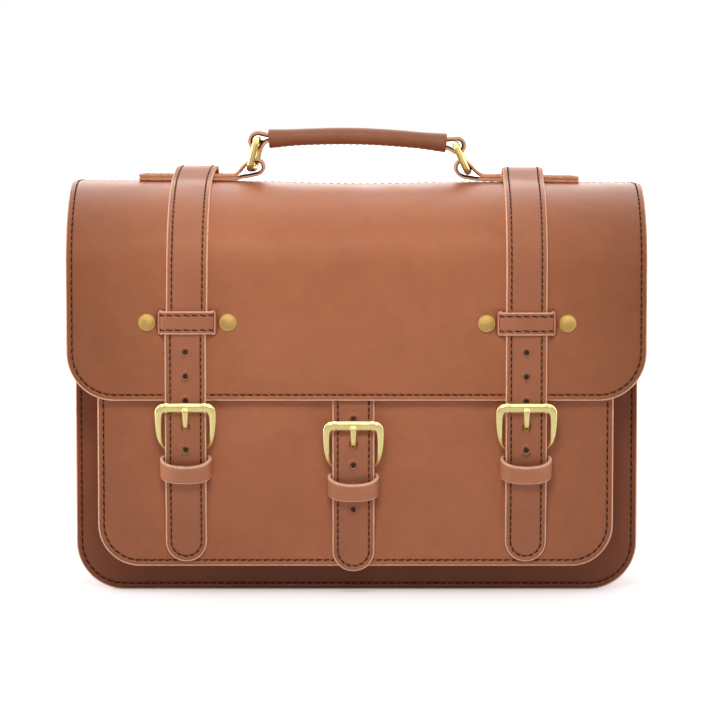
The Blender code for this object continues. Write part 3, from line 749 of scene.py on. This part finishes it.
pocket_x, pocket_half = middle("pocket_face", 0), 181.4
pocket_low, pocket_high = box("pocket_face")[0][2], box("pocket_face")[1][2]


def pocket_front(u, v, n):
    """The pocket's face: it swells a little between the straps."""
    u, v, n = (np.asarray(value, float) for value in (u, v, n))
    share = np.clip((v - pocket_low) / (pocket_high - pocket_low), 0, 1)
    between = np.minimum.reduce([np.abs(u - x) for x in STRAP_X.values()])
    swell = 1.1 * ease((between - 21.0) / 30.0) * ease((pocket_half - np.abs(u - pocket_x)) / 22.0)
    swell = swell * np.sin(math.pi * share) ** 0.7
    return standing(u, v, POCKET - n - swell)


sewn(("pocket_face_leather", "pocket_stitching"), pocket_front,
     ((pocket_x - pocket_half, pocket_x + pocket_half, pocket_low, pocket_high),
      (POCKET_CORNER, 6.0, 6.0, POCKET_CORNER)), PANEL_THICK, "bag", "pocket_leather", "pocket_face")


def gusset(name, node, half, low, corner, front, back, tops, centre, sag):
    """A U of leather with both flanges turned out; its sides fold in a little between the panels."""
    thick, inset, fold = 2.4, 7.0, 1.6
    inner = inset + thick
    deep = np.linspace(front + thick + fold, back - thick - fold, 13)
    # Each point is (depth from the cut edge, y, material), and the materials are 0 skin, 1 edge and 2 flesh.
    section = [(0.0, front + 1.2, 1), (0.25, front + 2.1, 1), (1.0, front + thick, 0),
               (inset - fold, front + thick, 0), (inset - 0.4, front + thick + 0.5, 0)]
    section += [(inset, y, 0) for y in deep]
    section += [(inset - 0.4, back - thick - 0.5, 0), (inset - fold, back - thick, 0), (1.0, back - thick, 1),
                (0.25, back - 2.1, 1), (0.0, back - 1.2, 1), (0.3, back - 0.3, 1), (1.0, back, 2),
                (inner - 1.0, back, 2), (inner - 0.3, back - 0.4, 2)]
    section += [(inner, y, 2) for y in deep[::-1]]
    section += [(inner - 0.3, front + 0.4, 2), (inner - 1.0, front, 2), (1.0, front, 1),
                (0.3, front + 0.3, 1)]
    rings = []

    def ring(x, z, angle=0.0, climb=None):
        """Adds a section turned by the angle; climb is how far up a side it stands, from 0 to 1."""
        made = []
        for depth, y, _ in section:
            share = (y - front) / (back - front)
            if climb is None:
                made.append((x - depth * math.cos(angle), y, z - depth * math.sin(angle)))
                continue
            top = tops[0] + (tops[1] - tops[0]) * share
            pull = sag * math.sin(math.pi * share) ** 2 if depth >= inset - 0.5 else 0.0
            height = low + corner + (top - low - corner) * climb
            made.append((x - (depth + pull * ease(climb * 1.6)), y, height))
        rings.append(np.array(made))

    for climb in np.linspace(1.0, 0.0, 20)[:-1]:
        ring(half, 0.0, climb=climb)
    for angle in -math.pi / 2 * np.arange(17) / 16:
        ring(half - corner + corner * math.cos(angle), low + corner + corner * math.sin(angle), angle)
    side_rings = len(rings)
    for x in np.linspace(half - corner, -(half - corner), 44)[1:-1]:
        ring(x, low, -math.pi / 2)
    rings += [points * (-1, 1, 1) for points in rings[:side_rings][::-1]]
    verts = np.vstack(rings) + (centre, 0.0, 0.0)
    faces = stack_faces(len(rings), len(section))
    around = [b[2] if a[2] == 1 else a[2] for a, b in zip(section, section[1:] + section[:1])]
    slots = around * (len(rings) - 1) + [1, 1]
    skins = (SKIN["gusset_leather"], EDGE, FLESH)
    made = finish_mesh(name, verts, faces, slots, skins, np.zeros(len(verts)))
    settle(outward(made), "bag", "gusset_leather", node)

    run = outline_path((-half, half, low, tops[0]), (corner, 2.0, 2.0, corner), SEAM)
    for end, y, out in (("front", front + thick, 1), ("back", back - thick, -1)):
        def flange(u, v, n):
            return standing(u + centre, v, y + out * n)
        sew(f"{name}_{end}_stitching", flange, run, "bag", "gusset_leather",
            keep=lambda u, v: v < tops[0] - 8, lift=0.2)


gusset("main_gusset_leather", "main_gusset", PANEL_HALF, 0.0, PANEL_CORNER, FRONT + 2.85, BACK - 2.85,
       (250.0, 270.0), 0.0, 5.0)
gusset("pocket_gusset_leather", "pocket_gusset", pocket_half, pocket_low, POCKET_CORNER, POCKET + 2.85,
       FRONT - 0.05, (195.0, 195.0), pocket_x, 1.6)

# ---------------------------------------------------------------- flap

slits = [(STRAP_X[side] + LOOP_SHIFT[side] + shift, flap_at(LOOP_Z[side]), 0.9, 6.9)
         for side in ("left", "right") for shift in (-18.3, 18.3)]
sewn(("flap_leather", "flap_stitching"), flap_face,
     ((-FLAP_HALF, FLAP_HALF, 3.0, FLAP_LENGTH), (12.0, 33.7, 33.7, 12.0)), FLAP_THICK,
     "flap", "flap_leather", "flap", holes=slits, lips=True, grid=5.0)

# ---------------------------------------------------------------- closure straps


def on_flap(x, start, end, lift, count=60, lean=None):
    """Points on the flap from s = start to end, lifted by a number or a function of s.

    lean starts with how far the strap strays sideways at its loop, the crest's front and the handle's base.
    """
    s = np.linspace(start, end, count)
    n = lift(s) if callable(lift) else np.full(count, lift)
    across = np.full(count, x)
    if lean is not None:
        loop, front, base = lean[:3]
        across += np.interp(s, (10.0, 33.0, 55.0, flap_at(LOOP_Z["left"])), (base, base, front, loop))
    return flap_face(across, s, n)


def strap_lift(s):
    """A closure strap's outer face over the flap: it rises over the handle's base strip."""
    y = np.interp(s, FLAP_ALONG, FLAP_LINE[:, 0])
    return STRAP_LIFT + 8.3 * np.sin(np.clip(1 - np.abs(y - HANDLE_Y) / 28.5, 0, 1) * math.pi / 2) ** 2


# A strap's way through its buckle and keeper, as (y, height above the buckle's heel).
THROUGH_BUCKLE = ((-75.2, 12), (-75.2, 1), (-75.0, -8), (-74.0, -17), (-72.5, -27), (-71.9, -35),
                  (-71.0, -43), (-69.4, -55))
STRAP_SEWING = {"seam": STRAP_SEAM, "pitch": STRAP_PITCH, "grid": 3.0, "step": 2.5}


def strap_holes(face, heights, heel):
    """A strap's spare holes at the given heights, and the one that the prong goes through."""
    holes = [(z, 1.95, 0.0) for z in heights] + [(heel + 15.2, 2.1, 0.4)]
    return [(0.0, float(np.interp(-z, -face.points[:, 2], face.along)), *shape) for z, *shape in holes]


for side in ("left", "right"):
    x, top = STRAP_X[side], LOOP_Z[side] - 0.8
    rear, crest = x + LEAN[side][3], x + LEAN[side][2]
    behind = smooth(((rear, BACK + 3.0, 196.0), (rear, BACK + 3.0, 225.0), (rear, BACK + 3.05, 255.0),
                     (rear, BACK + 3.4, 272.0), (rear + 0.2, BACK + 3.5, 281.0),
                     (0.5 * (rear + crest), BACK + 1.6, 288.0), (crest - 0.2, BACK - 4.0, 291.7),
                     tuple(on_flap(x, 16.0, 17.0, strap_lift, 2, LEAN[side])[0])), 6)
    over = on_flap(x, 17.0, flap_at(top), strap_lift, 120, LEAN[side])
    face = Course(np.vstack([behind, over]), (-1, 0, 0)).facing(REARWARD)
    sewn((f"strap_{side}_over", f"strap_{side}_over_stitching"), face,
         ((-STRAP_HALF, STRAP_HALF, 0.0, face.length), (14.2, 0.6, 0.6, 14.2)), STRAP_THICK,
         STRAP_BEND, "strap_leather", f"strap_top_{side}", f"strap_back_{side}",
         keep=lambda u, v: v < face.length - 6, **STRAP_SEWING)

    heel = HEEL[side]
    hang = on_flap(x, flap_at(top - 0.6), flap_at(HEM + 1.0), STRAP_LIFT, 30)
    below = smooth((tuple(hang[-1]), (x, -75.2, heel + 26), *((x, y, heel + up) for y, up in THROUGH_BUCKLE),
                    (x, -69.0, heel - 66), (x, -69.0, TIP[side])), 6)
    face = Course(np.vstack([hang, below[1:]]), (1, 0, 0)).facing(FRONTWARD)
    spots = {"left": (172.4, 155.2, 138.0, 103.6), "right": (172.0, 154.8, 137.6, 103.2)}[side]
    sewn((f"strap_{side}_tail", f"strap_{side}_tail_stitching"), face,
         ((-STRAP_HALF, STRAP_HALF, 0.0, face.length), (0.6, 14.2, 14.2, 0.6)), STRAP_THICK,
         ("flap", f"strap_{side}", (0.0, -74.0, top - 8.0), (0.0, -74.0, top - 20.0)), "strap_leather",
         f"strap_tail_{side}", holes=strap_holes(face, spots, heel), keep=lambda u, v: v > 5, **STRAP_SEWING)

x, heel = STRAP_X["middle"], HEEL["middle"]
line = smooth(((x, FRONT - 3.0, 241.0), (x, FRONT - 3.0, 230.0), (x, FRONT - 3.2, 221.0), (x, -45.6, 215.0),
               (x, -51.5, 211.6), (x, -58.8, 208.2), (x, -65.6, 203.9), (x, -68.7, 198.2), (x, -68.9, 190.0),
               (x, -68.9, 165.0), (x, -68.9, 141.0), (x, -68.95, 131.0), (x, -70.0, heel + 32),
               (x, -72.7, heel + 25), (x, -74.7, heel + 18), *((x, y, heel + up) for y, up in THROUGH_BUCKLE),
               (x, -69.0, heel - 64), (x, -69.0, TIP["middle"])), 6)
face = Course(line, (1, 0, 0)).facing(FRONTWARD)
sewn(("strap_middle", "strap_middle_stitching"), face,
     ((-STRAP_HALF - 0.3, STRAP_HALF + 0.3, 0.0, face.length), (1.5, 14.4, 14.4, 1.5)), STRAP_THICK,
     ("bag", "strap_middle", (0.0, -69.0, 135.0), (0.0, -69.0, 125.0)), "strap_leather", "strap_tail_middle",
     "strap_middle_upper", holes=strap_holes(face, (124.6, 92.6, 77.0, 61.2), heel), **STRAP_SEWING)

# ---------------------------------------------------------------- loops, keepers, chapes, rivets

# A rivet cap's outline as (radius, y), from its edge to its middle.
RIVET_PROFILE = ((5.2, 0.6), (5.9, 0.3), (6.15, -0.1), (6.2, -0.5), (6.1, -0.85), (5.85, -1.08),
                 (5.55, -1.12), (5.3, -1.02), (5.1, -1.05), (4.8, -1.25), (4.2, -1.55), (3.2, -1.86),
                 (2.1, -2.06), (1.0, -2.17), (0.15, -2.2))

for side in ("left", "right"):
    x, z = STRAP_X[side] + LOOP_SHIFT[side], LOOP_Z[side]
    base = flap_face(np.array([x]), np.array([flap_at(z)]), np.array([0.0]))[0][1]
    half = [(19.0, 4.2), (19.1, 1.2), (19.05, -1.4), (18.5, -3.0), (17.0, -4.5), (14.8, -5.2), (9.0, -5.35),
            (0.0, -5.4)]
    half = [(-u, dy) for u, dy in half] + half[-2::-1]
    line = smooth([(x + u, base + dy, z) for u, dy in half], 6)
    face = Course(line, (0, 0, 1)).facing(FRONTWARD, len(line) // 2)
    cut(f"flap_loop_{side}_leather", face, ((-8.05, 8.05, 0.0, face.length), (0.6,) * 4), 1.9,
        "flap", "loop_leather", f"flap_loop_{side}", seam=2.9, grid=2.2, step=2.0, rim=0.9, groove=0.2)
    for edge, name in ((-1, "lower"), (1, "upper")):
        run = np.array([(edge * 5.15, s) for s in np.linspace(6.0, face.length - 6.0, 60)])
        sew(f"flap_loop_{side}_stitching_{name}", face, run, "flap", "loop_leather",
            pitch=LOOP_PITCH, slant=13.0)
    for place, shift in (("outer", -1), ("inner", 1)):
        away = shift * RIVET_OFFSET * (1 if side == "left" else -1) + 0.4
        turns = 2 * math.pi * np.arange(RIVET_SIDES) / RIVET_SIDES
        verts = [(x + away + r * math.cos(turn), base - 0.05 + dy, z + r * math.sin(turn))
                 for r, dy in RIVET_PROFILE for turn in turns]
        cap = plain(f"rivet_cap_{side}_{place}", verts, stack_faces(len(RIVET_PROFILE), RIVET_SIDES), SATIN)
        settle(cap, "flap", "aged_brass", f"rivet_{side}_{place}")

for side in ("left", "middle", "right"):
    x, heel = STRAP_X[side], HEEL[side]
    line = smooth((
        (-69.2, -37.0), (-69.4, -24.0), (-69.6, -14.0), (-70.3, -8.2), (-71.9, -3.6), (-72.45, 0.0),
        (-71.7, 1.9), (-69.8, 2.65), (-67.9, 1.9), (-67.2, 0.0), (-66.75, -4.0), (-66.45, -10.0),
        (-66.35, -18.0), (-66.35, -36.0),
    ), 5)
    wide = np.interp(line[:, 1], (-24.0, -17.0), (1.0, 0.66))
    face = Course([(x, y, heel + z) for y, z in line], (1, 0, 0), half=wide).facing(FRONTWARD)
    top = float(face.along[int(np.argmax(line[:, 1]))])
    cut(f"chape_{side}_leather", face, ((-14.4, 14.4, 0.0, face.length), (6.0,) * 4), 1.05,
        "bag", "chape_leather", f"chape_{side}", holes=[(0.0, top, 2.5, 5.0)], grid=2.4, step=2.2, rim=0.5)

    # Half of the keeper, as (across, y, z, lean in degrees, width).
    centre = heel - 11.6
    half = [(16.2, -66.3, -1.2, 0.0, 1.10), (17.0, -67.6, -1.3, 0.0, 1.10), (17.9, -70.2, -1.6, 4.0, 1.10),
            (18.0, -73.4, -2.3, 10.0, 1.10), (17.0, -76.6, -3.6, 18.0, 1.12), (14.4, -79.2, -5.1, 24.0, 1.14),
            (9.2, -81.0, -6.6, 29.0, 1.16), (0.0, -81.8, -7.3, 32.0, 1.17)]
    rows = smooth(half + [(-u, *others) for u, *others in half[-2::-1]], 6)
    lean = np.radians(rows[:, 3])
    up = np.column_stack([np.zeros(len(rows)), -np.sin(lean), np.cos(lean)])
    line = np.column_stack([x + rows[:, 0], rows[:, 1], centre + rows[:, 2]])
    face = Course(line, up, half=rows[:, 4]).facing(FRONTWARD, len(rows) // 2)
    cut(f"keeper_{side}_leather", face, ((-6.4, 6.4, 0.0, face.length), (0.8,) * 4), 2.3,
        "bag", "loop_leather", f"keeper_{side}", skin="keeper", grid=2.2, step=2.0)

    # Half of the buckle frame, as (across, y, z, half of its width, half of its thickness).
    half = (
        (0.0, -77.7, 28.5, 3.75, 2.0), (5.0, -77.7, 28.5, 3.7, 2.0), (11.2, -77.7, 28.5, 3.65, 2.0),
        (12.6, -77.75, 28.5, 4.05, 2.25), (13.8, -77.75, 28.5, 4.1, 2.3), (14.9, -77.7, 28.45, 3.6, 2.05),
        (16.2, -77.7, 28.1, 3.75, 2.15), (17.9, -77.6, 26.7, 3.25, 2.05), (18.9, -77.4, 24.0, 2.55, 1.95),
        (19.1, -76.6, 18.0, 2.2, 1.8), (18.8, -75.2, 11.0, 1.9, 1.6), (17.9, -73.0, 5.2, 1.5, 1.4),
        (16.1, -70.9, 1.6, 1.3, 1.25), (13.6, -69.95, 0.2, 1.3, 1.3), (11.0, HEEL_Y, 0.0, 1.05, 1.05),
        (5.0, HEEL_Y, 0.0, 1.0, 1.0), (0.0, HEEL_Y, 0.0, 1.0, 1.0),
    )
    row = smooth(half, 4)
    loop = np.vstack([row, row[-2:0:-1] * (-1, 1, 1, 1, 1)])
    across = np.cross((1, 0, 0), (0.0, -77.7 - HEEL_Y, 28.5))
    bar = tube(f"buckle_{side}_frame", loop[:, :3] + (x, 0.0, heel), loop[:, 3], loop[:, 4], across, POLISHED,
               closed=True, section=roof(20))
    settle(bar, f"buckle_{side}", "polished_brass", f"buckle_{side}")

    # The prong from its coil to its tip, as (y, z, half of its thickness).
    line = smooth((
        (-70.9, 1.7, 0.45), (-71.85, 0.0, 0.45), (-71.25, -1.45, 0.45), (-69.8, -2.05, 0.45),
        (-68.35, -1.45, 0.5), (-67.75, 0.0, 0.5), (-67.9, 2.0, 0.8), (-68.6, 4.2, 1.05),
        (-70.0, 7.3, 1.2), (-72.4, 10.4, 1.25), (-75.4, 13.3, 1.25), (-78.2, 16.6, 1.2),
        (-80.2, 20.8, 1.1), (-81.1, 25.0, 0.95), (-81.2, 27.4, 0.8), (-81.05, 28.8, 0.5),
    ), 4)
    along = np.linspace(0, 1, len(line))
    width = np.interp(along, (0, 0.5, 0.7, 0.9, 0.97, 1), (1.8, 1.7, 1.8, 2.15, 2.0, 1.3))
    path = np.column_stack([np.full(len(line), x), line[:, 0], heel + line[:, 1]])
    prong = tube(f"prong_{side}_tongue", path, line[:, 2], width, (1, 0, 0), POLISHED)
    settle(prong, f"prong_{side}", "polished_brass", f"prong_{side}")

# ---------------------------------------------------------------- handle

BASE_OUTER = {"left": box("handle_base_left")[0][0], "right": box("handle_base_right")[1][0]}
for side, sign in (("left", -1.0), ("right", 1.0)):
    floor, far_floor = {"left": (290.9, 290.9), "right": (290.5, 289.2)}[side]
    upper = floor + 2.5
    centre_x, centre_z = {"left": (-71.9, 299.4), "right": (76.4, 298.6)}[side]
    low, high = floor - centre_z, upper - centre_z
    loop = {"left": (
        (20.0, low), (15.0, low + 0.3), (10.0, -7.0), (5.5, -6.3), (1.5, -5.4), (-2.2, -4.4), (-4.5, -2.0),
        (-5.0, 0.5), (-4.2, 3.0), (-2.0, 4.7), (0.8, 5.0), (3.8, 4.2), (6.4, 2.9), (8.4, 1.4),
        (10.6, -1.0), (12.6, -3.5),
        (15.4, high + 0.2), (18.5, high), (22.0, high),
    ), "right": (
        (20.0, low), (14.0, low + 0.2), (9.0, low + 0.4), (4.5, -6.8), (0.5, -6.1), (-2.8, -4.4),
        (-4.8, -1.6), (-5.1, 1.2),
        (-3.9, 3.8), (-1.6, 5.2), (1.2, 5.1), (4.0, 3.3), (6.6, 0.6), (9.2, -2.1), (11.8, -4.2),
        (15.0, high + 0.1), (18.5, high), (22.0, high),
    )}[side]
    bend = [(centre_x + sign * out, centre_z + up) for out, up in smooth(loop, 5)]
    far = BASE_OUTER[side]
    low_run = [(far + (bend[0][0] - far) * t, far_floor + (floor - far_floor) * t)
               for t in np.linspace(0, 1, 16)[:-1]]
    high_run = [(bend[-1][0] + (far - bend[-1][0]) * t, upper + (far_floor - floor) * t)
                for t in np.linspace(0, 1, 16)[1:]]
    path = [(px, HANDLE_Y, pz) for px, pz in low_run + bend + high_run]
    face = Course(path, (0, 1, 0)).facing(UPWARD, -1)
    outer = face(np.zeros(len(path)), face.along, np.full(len(path), 1.2))
    face = Course(outer, (0, 1, 0)).facing(UPWARD, -1)
    looped = (face.along[len(low_run) + 8], face.along[len(low_run) + len(bend) - 16])
    # Its inner side round the ring is painted black as shade.
    cut(f"handle_base_{side}_leather", face, ((-11.0, 11.0, 0.0, face.length), (0.8,) * 4), 2.4,
        "flap", "base_leather", f"handle_base_{side}", seam=3.2, grid=2.6, step=2.2, rim=0.9, groove=0.2,
        edge=BASE_EDGE, sooty=looped)
    begin = face.length - (abs(far - bend[-1][0]) - 2.0)
    for edge, name in ((-1, "front"), (1, "rear")):
        run = np.array([(edge * 7.8, s) for s in np.linspace(begin, face.length - 3.2, 80)])
        sew(f"handle_base_{side}_stitching_{name}", face, run, "flap", "base_leather",
            pitch=STRAP_PITCH, lift=-0.16, radius=0.36)

    low, high = (np.array((ring[0], HANDLE_Y, ring[1])) for ring in (RING_LOW[side], RING_HIGH[side]))
    length = np.linalg.norm(high - low)
    rise = (high - low) / length
    corner, reach = 3.7, 15.0 - 3.7
    twist = math.radians(6.0 if side == "left" else 3.5)
    aside = np.array((rise[2], 0.0, -rise[0]))
    deep = np.array((0.0, 1.0, 0.0)) * math.cos(twist) + aside * math.sin(twist)
    ring_path = []
    for y, height, start in ((reach, corner, -90), (reach, length - corner, 0), (-reach, length - corner, 90),
                             (-reach, corner, 180)):
        for angle in np.radians(start + 90 * np.arange(9) / 8):
            ring_path.append(low + deep * (y + corner * math.cos(angle))
                             + rise * (height + corner * math.sin(angle)))
    wire = tube(f"handle_ring_{side}_wire", ring_path, WIRE + 0.15, WIRE + 0.15, np.cross(deep, rise), AGED,
                closed=True)
    settle(wire, f"ring_{side}", "aged_brass", f"handle_ring_{side}")

    # The leather eye round the ring: its middle, its size, the grip's end and how far that reaches down.
    eye_x, eye_z, size, grip_x, grip_z, under = {
        "left": (-70.8, 318.0, 7.2, -62.0, 319.4, 2.2), "right": (72.4, 314.8, 6.4, 63.4, 316.2, 4.0)}[side]
    turn = np.radians(np.linspace(78, 292, 26))
    eye = [(grip_x, grip_z + 4.1), (grip_x + sign * 3.2, grip_z + 4.6)]
    eye += [(eye_x + sign * -size * np.cos(a), eye_z + size * np.sin(a)) for a in turn]
    eye += [(grip_x + sign * 3.2, grip_z - under - 1.3), (grip_x, grip_z - under)]
    path = smooth([(px, HANDLE_Y, pz) for px, pz in eye], 3)
    wide = np.interp(np.arange(len(path)), (0, 12, len(path) - 13, len(path) - 1), (0.76, 1.0, 1.0, 0.76))
    mid = len(path) // 2
    face = Course(path, (0, 1, 0), half=wide).facing(path[mid] - np.array((eye_x, HANDLE_Y, eye_z)), mid)
    # Its inner side is painted black as shade, for the shadow inside the eye.
    cut(f"handle_eye_{side}", face, ((-6.5, 6.5, 0.0, face.length), (0.5,) * 4), 3.0,
        "handle", "grip_leather", f"handle_loop_{side}", grid=2.0, step=1.8, rim=0.9, edge=BASE_EDGE,
        sooty=(-1.0, 99.0))

ends = (np.array((-63.2, HANDLE_Y, 319.6)), np.array((64.6, HANDLE_Y, 316.6)))
share = np.concatenate([[0.0, 0.002, 0.008, 0.014], np.linspace(0.03, 0.97, 60), [0.986, 0.992, 0.998, 1.0]])
path = [ends[0] + (ends[1] - ends[0]) * s + (0, 0, 3.4 * math.sin(math.pi * s)) for s in share]
edge = np.minimum(share, 1 - share)
radius = 6.0 + np.clip(1 - edge / 0.16, 0, 1) ** 1.5
radius = radius * np.interp(edge, (0.0, 0.002, 0.008, 0.014), (0.86, 0.95, 0.995, 1.0))
grip = tube("handle_grip_leather", path, radius, radius, (0, 1, 0), SKIN["grip_leather"], points=36)
grip.data.materials.append(EDGE)
for polygon in grip.data.polygons[-2:]:
    polygon.material_index = 1
settle(grip, "handle", "grip_leather", "handle_grip")
under = Course(path, (0, 1, 0)).facing(DOWNWARD)


def grip_face(u, s, n):
    """The grip's underside, where its leather meets in a sewn seam."""
    reach = np.interp(s, under.along, radius)
    return under(u, s, np.sqrt(np.maximum(reach**2 - np.asarray(u) ** 2, 0)) - 0.15 + n)


seam_run = np.array([(0.0, s) for s in np.linspace(5.0, under.length - 5.0, 120)])
sew("handle_grip_stitching", grip_face, seam_run, "handle", "grip_leather", pitch=STRAP_PITCH, lift=0.15)

# ---------------------------------------------------------------- stage


def area(name, place, target, size, power, spread=180.0):
    light = bpy.data.lights.new(name, "AREA")
    light.shape = "RECTANGLE"
    light.size, light.size_y = size
    light.energy = power
    light.spread = math.radians(spread)
    made = bpy.data.objects.new(name, light)
    made.location = place
    made.rotation_euler = (Vector(target) - Vector(place)).to_track_quat("-Z", "Y").to_euler()
    made.visible_camera = False
    bpy.context.scene.collection.objects.link(made)
    return made


mesh = bpy.data.meshes.new("studio_floor")
mesh.from_pydata([(-15, -15, 0), (15, -15, 0), (15, 15, 0), (-15, 15, 0)], [], [(0, 1, 2, 3)])
floor_piece = bpy.data.objects.new("studio_floor", mesh)
bpy.context.scene.collection.objects.link(floor_piece)
paper, sweep, glow = shader("studio_paper", (0.93, 0.93, 0.93), 0.9)
fill(glow, {"Emission Color": (1.0, 1.0, 1.0, 1.0)})
far = add(sweep, "VectorMath", operation="LENGTH")
sweep.links.new(coordinates(sweep), far.inputs[0])
lit = add(sweep, "Math", operation="MULTIPLY")
sweep.links.new(spread(sweep, far.outputs["Value"], 0.42, 1.0, 0.35, 1.2), lit.inputs[0])
sweep.links.new(add(sweep, "LightPath").outputs["Is Camera Ray"], lit.inputs[1])
sweep.links.new(lit.outputs[0], glow.inputs["Emission Strength"])
mesh.materials.append(paper)

world = bpy.data.worlds.new("studio")
bpy.context.scene.world = world
world.use_nodes = True
tree = world.node_tree
background = tree.nodes["Background"]
direction = add(tree, "SeparateXYZ")
tree.links.new(coordinates(tree, "Generated"), direction.inputs["Vector"])
path_node = add(tree, "LightPath")
gleam = add(tree, "Math", operation="MULTIPLY_ADD")
tree.links.new(spread(tree, direction.outputs["Z"], 0.42, 1.35, -0.05, 0.5), gleam.inputs[1])
tree.links.new(path_node.outputs["Is Glossy Ray"], gleam.inputs[0])
tree.links.new(spread(tree, direction.outputs["Y"], 0.06, 1.25, 0.0, 0.95), gleam.inputs[2])
tree.links.new(gleam.outputs["Value"], background.inputs["Strength"])
seen = add(tree, "Background", {"Strength": 1.0})
blend_node = add(tree, "MixShader")
for shade in (background, seen):
    fill(shade, {"Color": (1.0, 1.0, 1.0, 1.0)})
tree.links.new(path_node.outputs["Is Camera Ray"], blend_node.inputs["Fac"])
tree.links.new(background.outputs["Background"], blend_node.inputs[1])
tree.links.new(seen.outputs["Background"], blend_node.inputs[2])
tree.links.new(blend_node.outputs["Shader"], tree.nodes["World Output"].inputs["Surface"])

key = area("key_light", (-0.05, -0.55, 0.66), (0.0, 0.0, 0.17), (0.30, 0.22), 0.335, 60.0)
# The key only shapes the leather: mirrored in the flap's curve it would draw a band, as soft light doesn't.
key.visible_glossy = False
area("front_light", (0.0, -0.62, 0.30), (0.0, 0.0, 0.17), (0.34, 0.24), 0.05, 80.0)
area("top_light", (0.0, 0.3, 2.2), (0.0, 0.0, 0.0), (2.6, 2.2), 15.5)
area("back_light", (0.0, 1.9, 1.3), (0.0, 0.0, 0.15), (2.0, 1.2), 8.0)
area("left_light", (-1.2, 0.12, 0.35), (0.0, 0.05, 0.15), (0.9, 0.9), 9.0)
area("right_light", (1.2, 0.12, 0.35), (0.0, 0.05, 0.15), (0.9, 0.9), 5.5)

camera = bpy.data.cameras.new("camera")
camera.lens = 171.4
camera.sensor_width = 36.0
viewer = bpy.data.objects.new("camera", camera)
bpy.context.scene.collection.objects.link(viewer)
target = np.array((2.45, FLAP_FRONT + DATUM_Y, 166.8)) * MM
elevation, distance = math.radians(5.0), 2.4
viewer.location = target + distance * np.array((0.0, -math.cos(elevation), math.sin(elevation)))
viewer.rotation_euler = (math.radians(90) - elevation, 0.0, 0.0)
camera.clip_end = 50.0
bpy.context.scene.camera = viewer
bpy.context.scene.view_settings.view_transform = "Standard"
